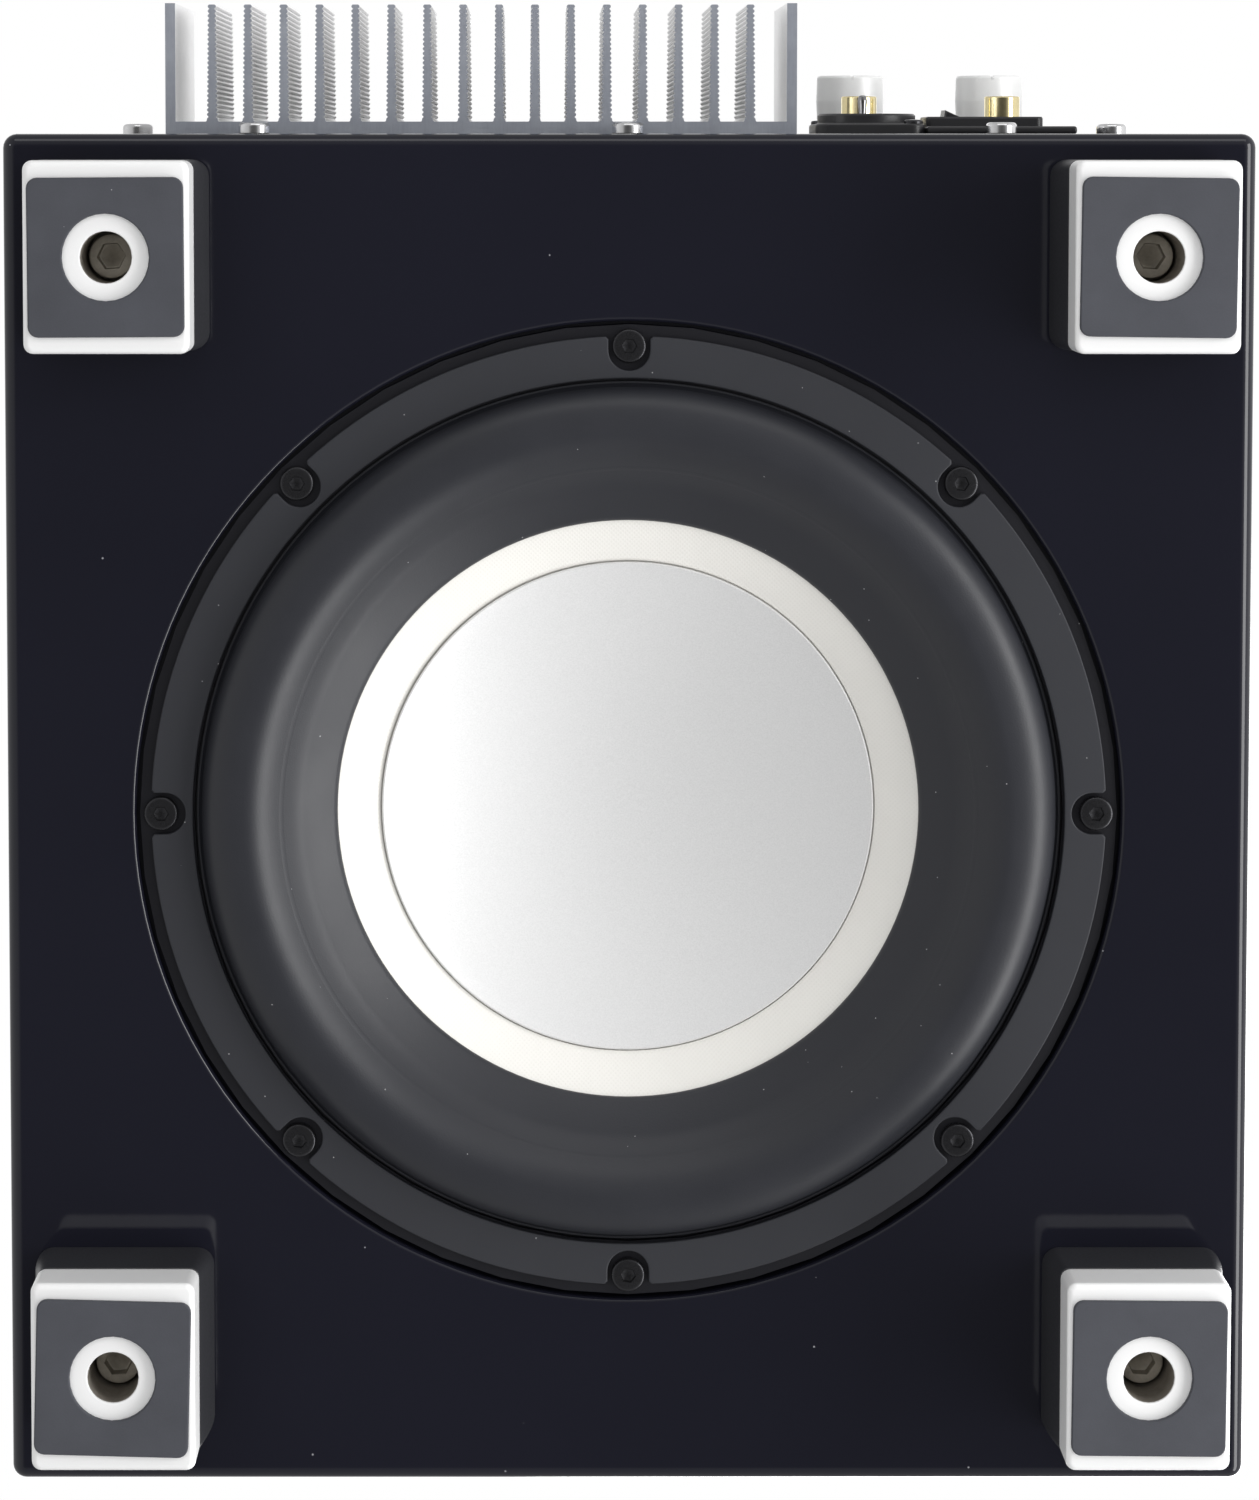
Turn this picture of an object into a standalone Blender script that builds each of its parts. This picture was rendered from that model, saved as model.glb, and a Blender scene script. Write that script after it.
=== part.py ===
"""A free-standing, powered subwoofer whose driver fires at the floor.

The part stands on its four feet with its origin on the floor, under the middle of its overall outline.
+Z is up, -Y is the front and +Y is the rear, where the amplifier plate and its heat sink are.
All sizes are in metres.
"""

import math

import bmesh
import bpy
from mathutils import Matrix, Vector

# Driving dimensions of the whole object
CABINET_WIDTH = 0.267
CABINET_DEPTH = 0.291
OVERALL_HEIGHT = 0.295
FOOT_HEIGHT = 0.036
HEAT_SINK_REACH = 0.0285
WALL = 0.018
EDGE_RADIUS = 0.003
GAP = 0.0003

OVERALL_DEPTH = CABINET_DEPTH + HEAT_SINK_REACH
HALF_WIDTH = CABINET_WIDTH / 2
FRONT_Y = -OVERALL_DEPTH / 2
REAR_Y = FRONT_Y + CABINET_DEPTH
BASE_Z = FOOT_HEIGHT
TOP_Z = OVERALL_HEIGHT

# Driver: radii about its axis, heights above the floor. It faces down, so deeper means higher.
DRIVER_Y = (FRONT_Y + REAR_Y) / 2
RING_STEPS = 48
SOFT_STEPS = 40
MOTOR_STEPS = 32
REBATE_RADIUS = 0.1057
REBATE_DEPTH = 0.006
CUTOUT_RADIUS = 0.096
FRAME_RADIUS = 0.105
CAST_LEGS = 6
TRIM_OUTER = 0.1028
TRIM_INNER = 0.0935
TRIM_FACE_Z = BASE_Z - 0.0003
TRIM_BACK_Z = BASE_Z + 0.0014
SEAT_Z = TRIM_BACK_Z + GAP
FRAME_BACK_Z = BASE_Z + REBATE_DEPTH - GAP
SCREW_CIRCLE = 0.1004
SCREW_COUNT = 8
SCREW_HEAD_RADIUS = 0.00365
SCREW_HEAD_HEIGHT = 0.0021
SCREW_SHANK_RADIUS = 0.0018
SCREW_HOLE_RADIUS = 0.0024
SCREW_END_Z = BASE_Z + 0.0142
SCREW_KEY = 0.0027
NOTCH_WIDTH = 0.0089
NOTCH_END = 0.0951
ROLL_OUTER = 0.0917
ROLL_INNER = 0.0714
ROLL_HEIGHT = 0.0086
SKIN = 0.0011
CONE_OUTER = 0.071
CONE_NECK = 0.0194
CONE_THICK = 0.0009
CONE_SLOPE = 0.567
CONE_SHOWN_RADIUS = 0.0627
CONE_SHOWN_Z = BASE_Z + 0.0072
CAP_RADIUS = 0.0533
CAP_DISH = 0.0105
CAP_THICK = 0.0008
COIL_RADIUS = 0.019
COIL_LOW_Z = 0.0665
COIL_HIGH_Z = 0.101
WINDING_LENGTH = 0.016
SPIDER_Z = BASE_Z + 0.0365
TOP_PLATE_Z = BASE_Z + 0.0523
TOP_PLATE_THICK = 0.006
MAGNET_THICK = 0.022
MAGNET_RADIUS = 0.055
MOTOR_PLATE_RADIUS = 0.050
POLE_RADIUS = 0.0179
VENT_RADIUS = 0.006
YOKE_THICK = 0.006

# Feet
FOOT_X = HALF_WIDTH - 0.025
FOOT_REAR_Y = REAR_Y - 0.0256
FOOT_FRONT_Y = FRONT_Y + 0.0311
FOOT_WIDE = 0.0344
FOOT_DEEP = 0.0399
FOOT_TOP_WIDE = 0.0382
FOOT_TOP_DEEP = 0.0403
FOOT_CORNER = 0.002
PAD_WIDE = 0.0323
PAD_DEEP = 0.0329
PAD_THICK = 0.0012
PAD_CORNER = 0.0022
PAD_HOLE = 0.009
SEAM_Z = 0.0156
SPIGOT_RADIUS = 0.009
SPIGOT_TOP_Z = 0.024
BOLT_HEAD_Z = 0.0152
BOLT_HEAD_HEIGHT = 0.006
BOLT_HEAD_RADIUS = 0.0047
BOLT_BORE = 0.00535
BOLT_RADIUS = 0.003
BOLT_CLEARANCE = 0.0035
BOLT_KEY = 0.005
BOLT_END_Z = BASE_Z + 0.014

# Amplifier plate in the rear wall, and what it carries
PLATE_HALF_WIDTH = 0.114
PLATE_LOW_Z = 0.053
PLATE_HIGH_Z = 0.273
PLATE_THICK = 0.0025
PLATE_FACE_Y = REAR_Y - 0.0002
PLATE_BACK_Y = PLATE_FACE_Y - PLATE_THICK
PLATE_RIM = 0.011
PLATE_SCREW_INSET = 0.0045
COLUMN_A_X = -0.055
COLUMN_B_X = -0.0882
KNOB_Z = 0.168
KNOB_RADIUS = 0.008
KNOB_TIP_Y = REAR_Y + 0.0145
KNOB_BACK_Y = REAR_Y + 0.0012
SHAFT_RADIUS = 0.003
SHAFT_END_Y = REAR_Y - 0.0132
PLATE_SCREW_RADIUS = 0.0034
PLATE_SCREW_SHANK = 0.0015
PLATE_SCREW_END_Y = REAR_Y - 0.014
PHONO_Z = 0.134
PHONO_RADIUS = 0.0041
PHONO_TIP_Y = REAR_Y + 0.0092
TOGGLE_X = -0.0545
TOGGLE_Z = 0.112
TOGGLE_PIVOT_Y = PLATE_FACE_Y + 0.0008
TOGGLE_TILT = math.radians(10)
SPEAKER_SOCKET_X = -0.0532
SPEAKER_SOCKET_Z = 0.08
MODULE_X = -0.08185
MODULE_LOW_Z = 0.064
MODULE_HIGH_Z = 0.113
MODULE_HALF_WIDTH = 0.01635
MODULE_FACE_Y = REAR_Y + 0.0018
INLET_X = -0.0785
INLET_Z = 0.0795
INLET_HALF_WIDTH = 0.0122
INLET_HALF_HEIGHT = 0.0084
INLET_RIM = (0.0006, 0.002)
ROCKER_X = -0.0817
ROCKER_Z = 0.1025
ROCKER_PIVOT_Y = REAR_Y - 0.00175
ROCKER_HALF_LENGTH = 0.0108
ROCKER_HALF_WIDTH = 0.006
ROCKER_TILT = math.radians(10)
HEAT_SINK_X = (-0.037, 0.1007)
HEAT_SINK_Z = (0.064, 0.124)
HEAT_SINK_BASE_Y = REAR_Y + 0.0028
FIN_COUNT = 18
END_FIN_STEP = 0.0091
END_FIN_THICK = 0.0022
FIN_ROOT = 0.002
FIN_TIP = 0.0014
TRANSFORMER_X = 0.045
TRANSFORMER_Z = 0.215
BOARD_BACK_Y = REAR_Y - 0.0178
BOARD_FRONT_Y = BOARD_BACK_Y - 0.0016
BOARD_X = (-0.101, -0.020)
BOARD_Z = (0.120, 0.258)
CAPACITOR_RADIUS = 0.009
CAPACITOR_LENGTH = 0.028
TRANSFORMER_BORE = 0.014
TRANSFORMER_RADIUS = 0.046
TRANSFORMER_THICK = 0.040
TRANSFORMER_EDGE = 0.006

LACQUER = ("black_lacquer", (0.012, 0.012, 0.017), 0.08, 0.0)
CAST_FRAME = ("black_casting", (0.02, 0.02, 0.023), 0.5, 0.6)
TRIM_RUBBER = ("trim_rubber", (0.045, 0.046, 0.052), 0.75, 0.0)
ROLL_RUBBER = ("surround_rubber", (0.035, 0.036, 0.04), 0.45, 0.0)
CONE_FIBRE = ("cone_fibre", (0.86, 0.84, 0.8), 0.85, 0.0)
CAP_METAL = ("cap_aluminium", (0.82, 0.82, 0.83), 0.38, 1.0)
SPIDER_CLOTH = ("spider_cloth", (0.55, 0.38, 0.14), 0.9, 0.0)
COPPER = ("coil_copper", (0.72, 0.33, 0.16), 0.35, 1.0)
STEEL = ("plated_steel", (0.5, 0.5, 0.52), 0.35, 1.0)
FERRITE = ("ferrite", (0.04, 0.04, 0.045), 0.7, 0.0)
BLACK_SCREW = ("black_screw", (0.02, 0.02, 0.022), 0.3, 0.7)
FOOT_PLASTIC = ("foot_plastic", (0.03, 0.031, 0.035), 0.45, 0.0)
FOOT_METAL = ("foot_metal", (0.86, 0.86, 0.87), 0.25, 1.0)
PAD_RUBBER = ("pad_rubber", (0.11, 0.115, 0.13), 0.9, 0.0)
BOLT_METAL = ("bolt_metal", (0.42, 0.38, 0.32), 0.4, 1.0)
PLATE_PAINT = ("plate_paint", (0.02, 0.02, 0.022), 0.5, 0.3)
SINK_METAL = ("sink_aluminium", (0.5, 0.51, 0.55), 0.35, 1.0)
GOLD = ("gold_plate", (0.9, 0.62, 0.22), 0.25, 1.0)
SOCKET_PLASTIC = ("socket_plastic", (0.018, 0.018, 0.02), 0.4, 0.0)
CHROME = ("chrome", (0.85, 0.85, 0.86), 0.12, 1.0)
KNOB_METAL = ("knob_aluminium", (0.8, 0.8, 0.81), 0.3, 1.0)
BOARD_GREEN = ("circuit_board", (0.03, 0.16, 0.07), 0.5, 0.0)
TRANSFORMER_WRAP = ("transformer_wrap", (0.45, 0.36, 0.06), 0.5, 0.0)
LEAD_JACKET = ("lead_jacket", (0.3, 0.02, 0.02), 0.5, 0.0)


# ---------------------------------------------------------------- helpers

def material(finish):
    """Return the material of a finish, made the first time that it is asked for."""
    name, colour, roughness, metallic = finish
    made = bpy.data.materials.get(name)
    if made is None:
        made = bpy.data.materials.new(name)
        made.use_nodes = True
        shader = made.node_tree.nodes["Principled BSDF"]
        shader.inputs["Base Color"].default_value = (*colour, 1.0)
        shader.inputs["Roughness"].default_value = roughness
        shader.inputs["Metallic"].default_value = metallic
    return made


def place(name, mesh, finish, location=(0, 0, 0), rotation=(0, 0, 0)):
    """Make a named object of a mesh."""
    made = bpy.data.objects.new(name, mesh)
    bpy.context.scene.collection.objects.link(made)
    if not mesh.materials:
        mesh.materials.append(material(finish))
    made.location = location
    made.rotation_euler = rotation
    return made


def mesh_of(name, bm):
    """Turn a bmesh into a smooth-shaded mesh whose faces point out."""
    bmesh.ops.recalc_face_normals(bm, faces=bm.faces)
    mesh = bpy.data.meshes.new(name)
    bm.to_mesh(mesh)
    bm.free()
    mesh.shade_smooth()
    mesh.set_sharp_from_angle(angle=math.radians(35))
    return mesh


def turned_mesh(name, profile, steps):
    """Spin a closed (radius, height) outline about Z."""
    bm = bmesh.new()
    points = [bm.verts.new((radius, 0, height)) for radius, height in profile]
    for first, second in zip(points, points[1:] + points[:1]):
        if max(first.co.x, second.co.x) > 0:
            bm.edges.new((first, second))
    bmesh.ops.spin(bm, geom=bm.verts[:] + bm.edges[:], cent=(0, 0, 0), axis=(0, 0, 1),
                   dvec=(0, 0, 0), angle=math.tau, steps=steps, use_merge=True)
    bmesh.ops.remove_doubles(bm, verts=bm.verts, dist=1e-6)
    return mesh_of(name, bm)


def turned(name, profile, steps, finish, location=(0, 0, 0), rotation=(0, 0, 0)):
    """Make a turned object."""
    return place(name, turned_mesh(name, profile, steps), finish, location, rotation)


def facing_rear(name, profile, steps, finish, x, z):
    """Make a turned object whose axis runs along Y at (x, z); its heights are places along Y."""
    return turned(name, profile, steps, finish, (x, 0, z), (-math.pi / 2, 0, 0))


def rounded_rectangle(wide, deep, corner, steps=3):
    """Return the outline of a rectangle with rounded corners, about the origin."""
    outline = []
    for quarter in range(4):
        sign_x = (1, -1, -1, 1)[quarter]
        sign_y = (1, 1, -1, -1)[quarter]
        centre = Vector((sign_x * (wide / 2 - corner), sign_y * (deep / 2 - corner)))
        for step in range(steps + 1):
            angle = math.pi / 2 * (quarter + step / steps)
            outline.append(centre + corner * Vector((math.cos(angle), math.sin(angle))))
    return outline


def prism_mesh(name, outline, low, high, top_scale=(1, 1)):
    """Extrude an outline from one height to another, scaling its far end."""
    bm = bmesh.new()
    face = bm.faces.new([bm.verts.new((x, y, low)) for x, y in outline])
    grown = bmesh.ops.extrude_face_region(bm, geom=[face])["geom"]
    top = [item for item in grown if isinstance(item, bmesh.types.BMVert)]
    bmesh.ops.translate(bm, verts=top, vec=(0, 0, high - low))
    bmesh.ops.scale(bm, verts=top, vec=(*top_scale, 1))
    return mesh_of(name, bm)


def prism(name, outline, low, high, finish, location=(0, 0, 0), rotation=(0, 0, 0), top_scale=(1, 1)):
    """Make an extruded object."""
    return place(name, prism_mesh(name, outline, low, high, top_scale), finish, location, rotation)


def box(name, low, high, finish, is_rounded=None, radius=EDGE_RADIUS):
    """Make a box between two corners, with the edges that is_rounded accepts rounded over."""
    bm = bmesh.new()
    low, high = Vector(low), Vector(high)
    matrix = Matrix.Translation((low + high) / 2) @ Matrix.Diagonal((*(high - low), 1))
    bmesh.ops.create_cube(bm, size=1, matrix=matrix)
    if is_rounded:
        chosen = [edge for edge in bm.edges if is_rounded((edge.verts[0].co + edge.verts[1].co) / 2)]
        bmesh.ops.bevel(bm, geom=chosen, offset=radius, affect="EDGES", segments=2, profile=0.5, material=-1)
    return place(name, mesh_of(name, bm), finish)


def combine(target, tools, operation):
    """Apply a Boolean of each tool to the target and remove the tools."""
    for tool in tools:
        modifier = target.modifiers.new("shape", "BOOLEAN")
        modifier.operation = operation
        modifier.solver = "EXACT"
        modifier.object = tool
    bpy.context.view_layer.update()
    finished = target.evaluated_get(bpy.context.evaluated_depsgraph_get())
    mesh = bpy.data.meshes.new_from_object(finished)
    target.modifiers.clear()
    target.data = mesh
    for tool in tools:
        bpy.data.objects.remove(tool, do_unlink=True)
    return target


def cut(target, *tools):
    """Cut the tools out of the target."""
    return combine(target, tools, "DIFFERENCE")


def join(target, *tools):
    """Unite the tools with the target as one solid."""
    return combine(target, tools, "UNION")


def around(count, radius, start=0.0):
    """Return points and angles evenly round the driver's axis."""
    places = []
    for index in range(count):
        angle = start + math.tau * index / count
        places.append((radius * math.cos(angle), DRIVER_Y + radius * math.sin(angle), angle))
    return places


def rod(radius, low, high):
    """Return the outline of a plain rod for turned()."""
    return [(0, low), (radius, low), (radius, high), (0, high)]


def round_cutter(radius, low, high, steps, location=(0, 0, 0), rotation=(0, 0, 0)):
    """Make a plain round cutter."""
    return turned("cutter", rod(radius, low, high), steps, STEEL, location, rotation)


def rear_cutter(radius, x, z, low=PLATE_BACK_Y - 0.02, high=REAR_Y + 0.02, steps=12):
    """Make a round cutter along Y through the rear wall."""
    return round_cutter(radius, low, high, steps, (x, 0, z), (-math.pi / 2, 0, 0))


# ---------------------------------------------------------------- cabinet

def foot_places():
    """Return each foot's name, place and the small turn that its pad was stuck on with."""
    return [
        ("rear_right", FOOT_X, FOOT_REAR_Y, math.radians(-0.3)),
        ("rear_left", -FOOT_X, FOOT_REAR_Y, math.radians(0.7)),
        ("front_right", FOOT_X, FOOT_FRONT_Y, math.radians(1.5)),
        ("front_left", -FOOT_X, FOOT_FRONT_Y, math.radians(0.5)),
    ]


def plate_screw_places():
    """Return where the five lower screws of the amplifier plate are, as (x, z)."""
    low_row = PLATE_LOW_Z + PLATE_SCREW_INSET
    side = PLATE_HALF_WIDTH - PLATE_SCREW_INSET
    return [(-0.081, low_row), (0, low_row), (0.081, low_row), (-side, 0.098), (side, 0.098)]


def make_cabinet():
    """Make the six panels: full-size front and rear, sides between them, top and bottom inside."""
    inner_front = FRONT_Y + WALL
    inner_rear = REAR_Y - WALL
    box("front_panel", (-HALF_WIDTH, FRONT_Y, BASE_Z), (HALF_WIDTH, inner_front, TOP_Z), LACQUER,
        is_rounded=lambda middle: middle.y < inner_front - GAP)
    rear = box("rear_panel", (-HALF_WIDTH, inner_rear, BASE_Z), (HALF_WIDTH, REAR_Y, TOP_Z), LACQUER,
               is_rounded=lambda middle: middle.y > inner_rear + GAP)
    for name, side in (("left_panel", -1), ("right_panel", 1)):
        faces = sorted((side * HALF_WIDTH, side * (HALF_WIDTH - WALL)))
        box(name, (faces[0], inner_front + GAP, BASE_Z), (faces[1], inner_rear - GAP, TOP_Z), LACQUER,
            is_rounded=lambda middle: abs(middle.x) > HALF_WIDTH - GAP and abs(middle.y) < REAR_Y - WALL - 0.01)
    inner_x = HALF_WIDTH - WALL - GAP
    inner_low = (-inner_x, inner_front + GAP)
    inner_high = (inner_x, inner_rear - GAP)
    box("top_panel", (*inner_low, TOP_Z - WALL), (*inner_high, TOP_Z), LACQUER)
    baffle = box("bottom_baffle", (*inner_low, BASE_Z), (*inner_high, BASE_Z + WALL), LACQUER)
    cut_baffle(baffle)
    cut_rear_panel(rear)


def cut_baffle(baffle):
    """Cut the driver's rebated opening, its screw holes and the foot bolts' holes."""
    floor_z = BASE_Z + REBATE_DEPTH
    chamfer = 0.0008
    opening = [(0, BASE_Z - 0.001), (REBATE_RADIUS + chamfer + 0.001, BASE_Z - 0.001),
               (REBATE_RADIUS, BASE_Z + chamfer), (REBATE_RADIUS, floor_z), (CUTOUT_RADIUS, floor_z),
               (CUTOUT_RADIUS, BASE_Z + WALL + 0.001), (0, BASE_Z + WALL + 0.001)]
    cutters = [turned("cutter", opening, RING_STEPS, STEEL, (0, DRIVER_Y, 0))]
    for x, y, angle in around(SCREW_COUNT, SCREW_CIRCLE):
        cutters.append(round_cutter(SCREW_HOLE_RADIUS, floor_z - 0.001, SCREW_END_Z + 0.0013, 8, (x, y, 0)))
    for name, x, y, turn in foot_places():
        cutters.append(round_cutter(BOLT_CLEARANCE, BASE_Z - 0.001, BASE_Z + WALL + 0.001, 12, (x, y, 0)))
    cut(baffle, *cutters)


def cut_rear_panel(rear):
    """Cut the amplifier's opening, the rebate for its plate and the plate's screw holes."""
    reach = REAR_Y + 0.01
    clear = 0.0004
    rebate_y = PLATE_BACK_Y - GAP
    rebate = box("cutter", (-PLATE_HALF_WIDTH - clear, rebate_y, PLATE_LOW_Z - clear),
                 (PLATE_HALF_WIDTH + clear, reach, PLATE_HIGH_Z + clear), STEEL)
    opening = box("cutter", (-PLATE_HALF_WIDTH + PLATE_RIM, REAR_Y - WALL - 0.01, PLATE_LOW_Z + PLATE_RIM),
                  (PLATE_HALF_WIDTH - PLATE_RIM, reach, PLATE_HIGH_Z - PLATE_RIM), STEEL)
    holes = [rear_cutter(0.002, x, z, REAR_Y - 0.0155, REAR_Y, 8) for x, z in plate_screw_places()]
    cut(rear, rebate, opening, *holes)


# ---------------------------------------------------------------- driver

def cone_z(radius):
    """Return the height of the cone's front surface at a radius."""
    return CONE_SHOWN_Z + (CONE_SHOWN_RADIUS - radius) * CONE_SLOPE


def make_basket():
    """Make the cast frame: rim, six legs, spider landing and motor seat."""
    profile = [(FRAME_RADIUS, SEAT_Z), (0.0934, SEAT_Z), (0.0934, 0.0396), (0.0875, 0.0396),
               (0.0855, 0.044), (0.0578, 0.0734), (0.0505, 0.0734), (0.0505, 0.084), (0.030, 0.084),
               (0.030, 0.088), (0.0532, 0.088), (0.0532, 0.0762), (0.0605, 0.0762), (0.0886, 0.0465),
               (0.0925, FRAME_BACK_Z), (FRAME_RADIUS, FRAME_BACK_Z)]
    basket = turned("driver_basket", profile, RING_STEPS, CAST_FRAME, (0, DRIVER_Y, 0))
    cutters = []
    half_angle = math.radians(19)
    for x, y, angle in around(CAST_LEGS, 0, math.pi / CAST_LEGS):
        window = [(radius * math.cos(half_angle), side * radius * math.sin(half_angle))
                  for radius, side in ((0.04, -1), (0.11, -1), (0.11, 1), (0.04, 1))]
        cutters.append(prism("cutter", window, 0.0485, 0.0695, STEEL, (0, DRIVER_Y, 0), (0, 0, angle)))
    for x, y, angle in around(SCREW_COUNT, SCREW_CIRCLE):
        cutters.append(round_cutter(SCREW_HOLE_RADIUS, SEAT_Z - 0.001, FRAME_BACK_Z + 0.0013, 8, (x, y, 0)))
    cut(basket, *cutters)


def make_trim_ring():
    """Make the rubber ring on the frame, notched from outside round each screw."""
    profile = [(TRIM_INNER, TRIM_FACE_Z), (TRIM_OUTER, TRIM_FACE_Z), (TRIM_OUTER, TRIM_BACK_Z),
               (TRIM_INNER, TRIM_BACK_Z)]
    ring = turned("trim_ring", profile, RING_STEPS, TRIM_RUBBER, (0, DRIVER_Y, 0))
    half = NOTCH_WIDTH / 2
    centre = NOTCH_END + half
    notch = [(centre + 0.012, -half), (centre + 0.012, half)]
    for step in range(8):
        angle = math.pi / 2 + math.pi * step / 7
        notch.append((centre + half * math.cos(angle), half * math.sin(angle)))
    cutters = []
    for x, y, angle in around(SCREW_COUNT, 0):
        cutters.append(prism("cutter", notch, TRIM_FACE_Z - 0.001, TRIM_BACK_Z + 0.001, STEEL,
                             (0, DRIVER_Y, 0), (0, 0, angle)))
    cut(ring, *cutters)


def make_surround():
    """Make the half-roll: a flat outer rim, the roll and a flange that lies on the cone."""
    outer_z = BASE_Z + 0.0021
    inner_z = cone_z(ROLL_INNER) - GAP - SKIN
    middle = (ROLL_OUTER + ROLL_INNER) / 2
    half = (ROLL_OUTER - ROLL_INNER) / 2
    front, back = [(0.0928, outer_z)], [(0.0928, outer_z + SKIN)]
    steps = 6
    for step in range(steps + 1):
        angle = math.pi * step / steps
        blend = step / steps
        level = outer_z + (inner_z - outer_z) * blend
        front.append((middle + half * math.cos(angle), level - ROLL_HEIGHT * math.sin(angle)))
        back.append((middle + (half - SKIN) * math.cos(angle),
                     level + SKIN * (1 - math.sin(angle)) - (ROLL_HEIGHT - SKIN) * math.sin(angle)))
    back[-1] = (ROLL_INNER + SKIN, cone_z(ROLL_INNER + SKIN) - GAP)
    front.append((CONE_SHOWN_RADIUS, cone_z(CONE_SHOWN_RADIUS) - GAP - SKIN))
    back.append((CONE_SHOWN_RADIUS, cone_z(CONE_SHOWN_RADIUS) - GAP))
    turned("surround", front + back[::-1], SOFT_STEPS, ROLL_RUBBER, (0, DRIVER_Y, 0))


def make_moving_assembly():
    """Make what travels with the voice coil: cone, dust cap and coil."""
    cone = [(CONE_OUTER, cone_z(CONE_OUTER)), (CONE_OUTER, cone_z(CONE_OUTER) + CONE_THICK),
            (CONE_NECK, cone_z(CONE_NECK) + CONE_THICK), (CONE_NECK, cone_z(CONE_NECK))]
    turned("cone", cone, SOFT_STEPS, CONE_FIBRE, (0, DRIVER_Y, 0))
    rim_z = cone_z(CAP_RADIUS) - GAP
    dish = []
    steps = 5
    for step in range(steps + 1):
        radius = CAP_RADIUS * (1 - step / steps)
        dish.append((radius, rim_z + CAP_DISH * (1 - (radius / CAP_RADIUS) ** 2)))
    front = [(radius, height - CAP_THICK) for radius, height in dish]
    turned("dust_cap", front + dish[::-1], SOFT_STEPS, CAP_METAL, (0, DRIVER_Y, 0))
    inside = COIL_RADIUS - 0.0006
    winding = COIL_RADIUS + 0.0009
    gap_middle = TOP_PLATE_Z + TOP_PLATE_THICK / 2
    low, high = gap_middle - WINDING_LENGTH / 2, gap_middle + WINDING_LENGTH / 2
    coil = [(inside, COIL_LOW_Z), (COIL_RADIUS, COIL_LOW_Z), (COIL_RADIUS, low), (winding, low),
            (winding, high), (COIL_RADIUS, high), (COIL_RADIUS, COIL_HIGH_Z), (inside, COIL_HIGH_Z)]
    turned("voice_coil", coil, 24, COPPER, (0, DRIVER_Y, 0))


def make_spider():
    """Make the waved cloth disc that centres the coil."""
    inner, outer = 0.0197, 0.0574
    wave = 0.0009
    half = 0.0004
    centre_line = [(outer, SPIDER_Z), (0.0515, SPIDER_Z)]
    waves = 4
    for step in range(1, waves + 1):
        radius = 0.0515 + (0.0235 - 0.0515) * step / (waves + 1)
        centre_line.append((radius, SPIDER_Z + wave * (-1) ** step))
    centre_line.append((inner, SPIDER_Z))
    front = [(radius, height - half) for radius, height in centre_line]
    back = [(radius, height + half) for radius, height in reversed(centre_line)]
    turned("spider", front + back, MOTOR_STEPS, SPIDER_CLOTH, (0, DRIVER_Y, 0))


def make_motor():
    """Make the magnet system behind the basket."""
    plate_top = TOP_PLATE_Z + TOP_PLATE_THICK
    magnet_low = plate_top + GAP
    magnet_top = magnet_low + MAGNET_THICK
    yoke_low = magnet_top + GAP
    yoke_top = yoke_low + YOKE_THICK
    for name, inside, outside, low, high, finish in (
            ("top_plate", 0.0207, MOTOR_PLATE_RADIUS, TOP_PLATE_Z, plate_top, STEEL),
            ("magnet", 0.026, MAGNET_RADIUS, magnet_low, magnet_top, FERRITE)):
        ring = [(inside, low), (outside, low), (outside, high), (inside, high)]
        turned(name, ring, MOTOR_STEPS, finish, (0, DRIVER_Y, 0))
    yoke = [(VENT_RADIUS, TOP_PLATE_Z), (POLE_RADIUS, TOP_PLATE_Z), (POLE_RADIUS, yoke_low),
            (MOTOR_PLATE_RADIUS, yoke_low), (MOTOR_PLATE_RADIUS, yoke_top), (VENT_RADIUS, yoke_top)]
    turned("yoke", yoke, MOTOR_STEPS, STEEL, (0, DRIVER_Y, 0))


def hex_outline(across_flats):
    """Return the outline of a hexagon key hole."""
    radius = across_flats / math.sqrt(3)
    return [(radius * math.cos(math.pi * side / 3), radius * math.sin(math.pi * side / 3)) for side in range(6)]


def make_driver_screws():
    """Make the eight button-head screws, all from one mesh."""
    under = SEAT_Z - GAP
    top = under - SCREW_HEAD_HEIGHT
    profile = [(0, top), (0.0024, top + 0.0001), (SCREW_HEAD_RADIUS, top + 0.0012), (SCREW_HEAD_RADIUS, under),
               (SCREW_SHANK_RADIUS, under), (SCREW_SHANK_RADIUS, SCREW_END_Z), (0, SCREW_END_Z)]
    screw = turned("driver_screw_1", profile, 12, BLACK_SCREW)
    cut(screw, prism("cutter", hex_outline(SCREW_KEY), top - 0.001, top + 0.0013, STEEL))
    for index, (x, y, angle) in enumerate(around(SCREW_COUNT, SCREW_CIRCLE), start=1):
        copy = screw if index == 1 else place(f"driver_screw_{index}", screw.data, BLACK_SCREW)
        copy.location = (x, y, 0)
        copy.rotation_euler = (0, 0, angle)


def make_driver():
    """Make every piece of the driver."""
    make_basket()
    make_trim_ring()
    make_surround()
    make_moving_assembly()
    make_spider()
    make_motor()
    make_driver_screws()


# ---------------------------------------------------------------- feet

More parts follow.
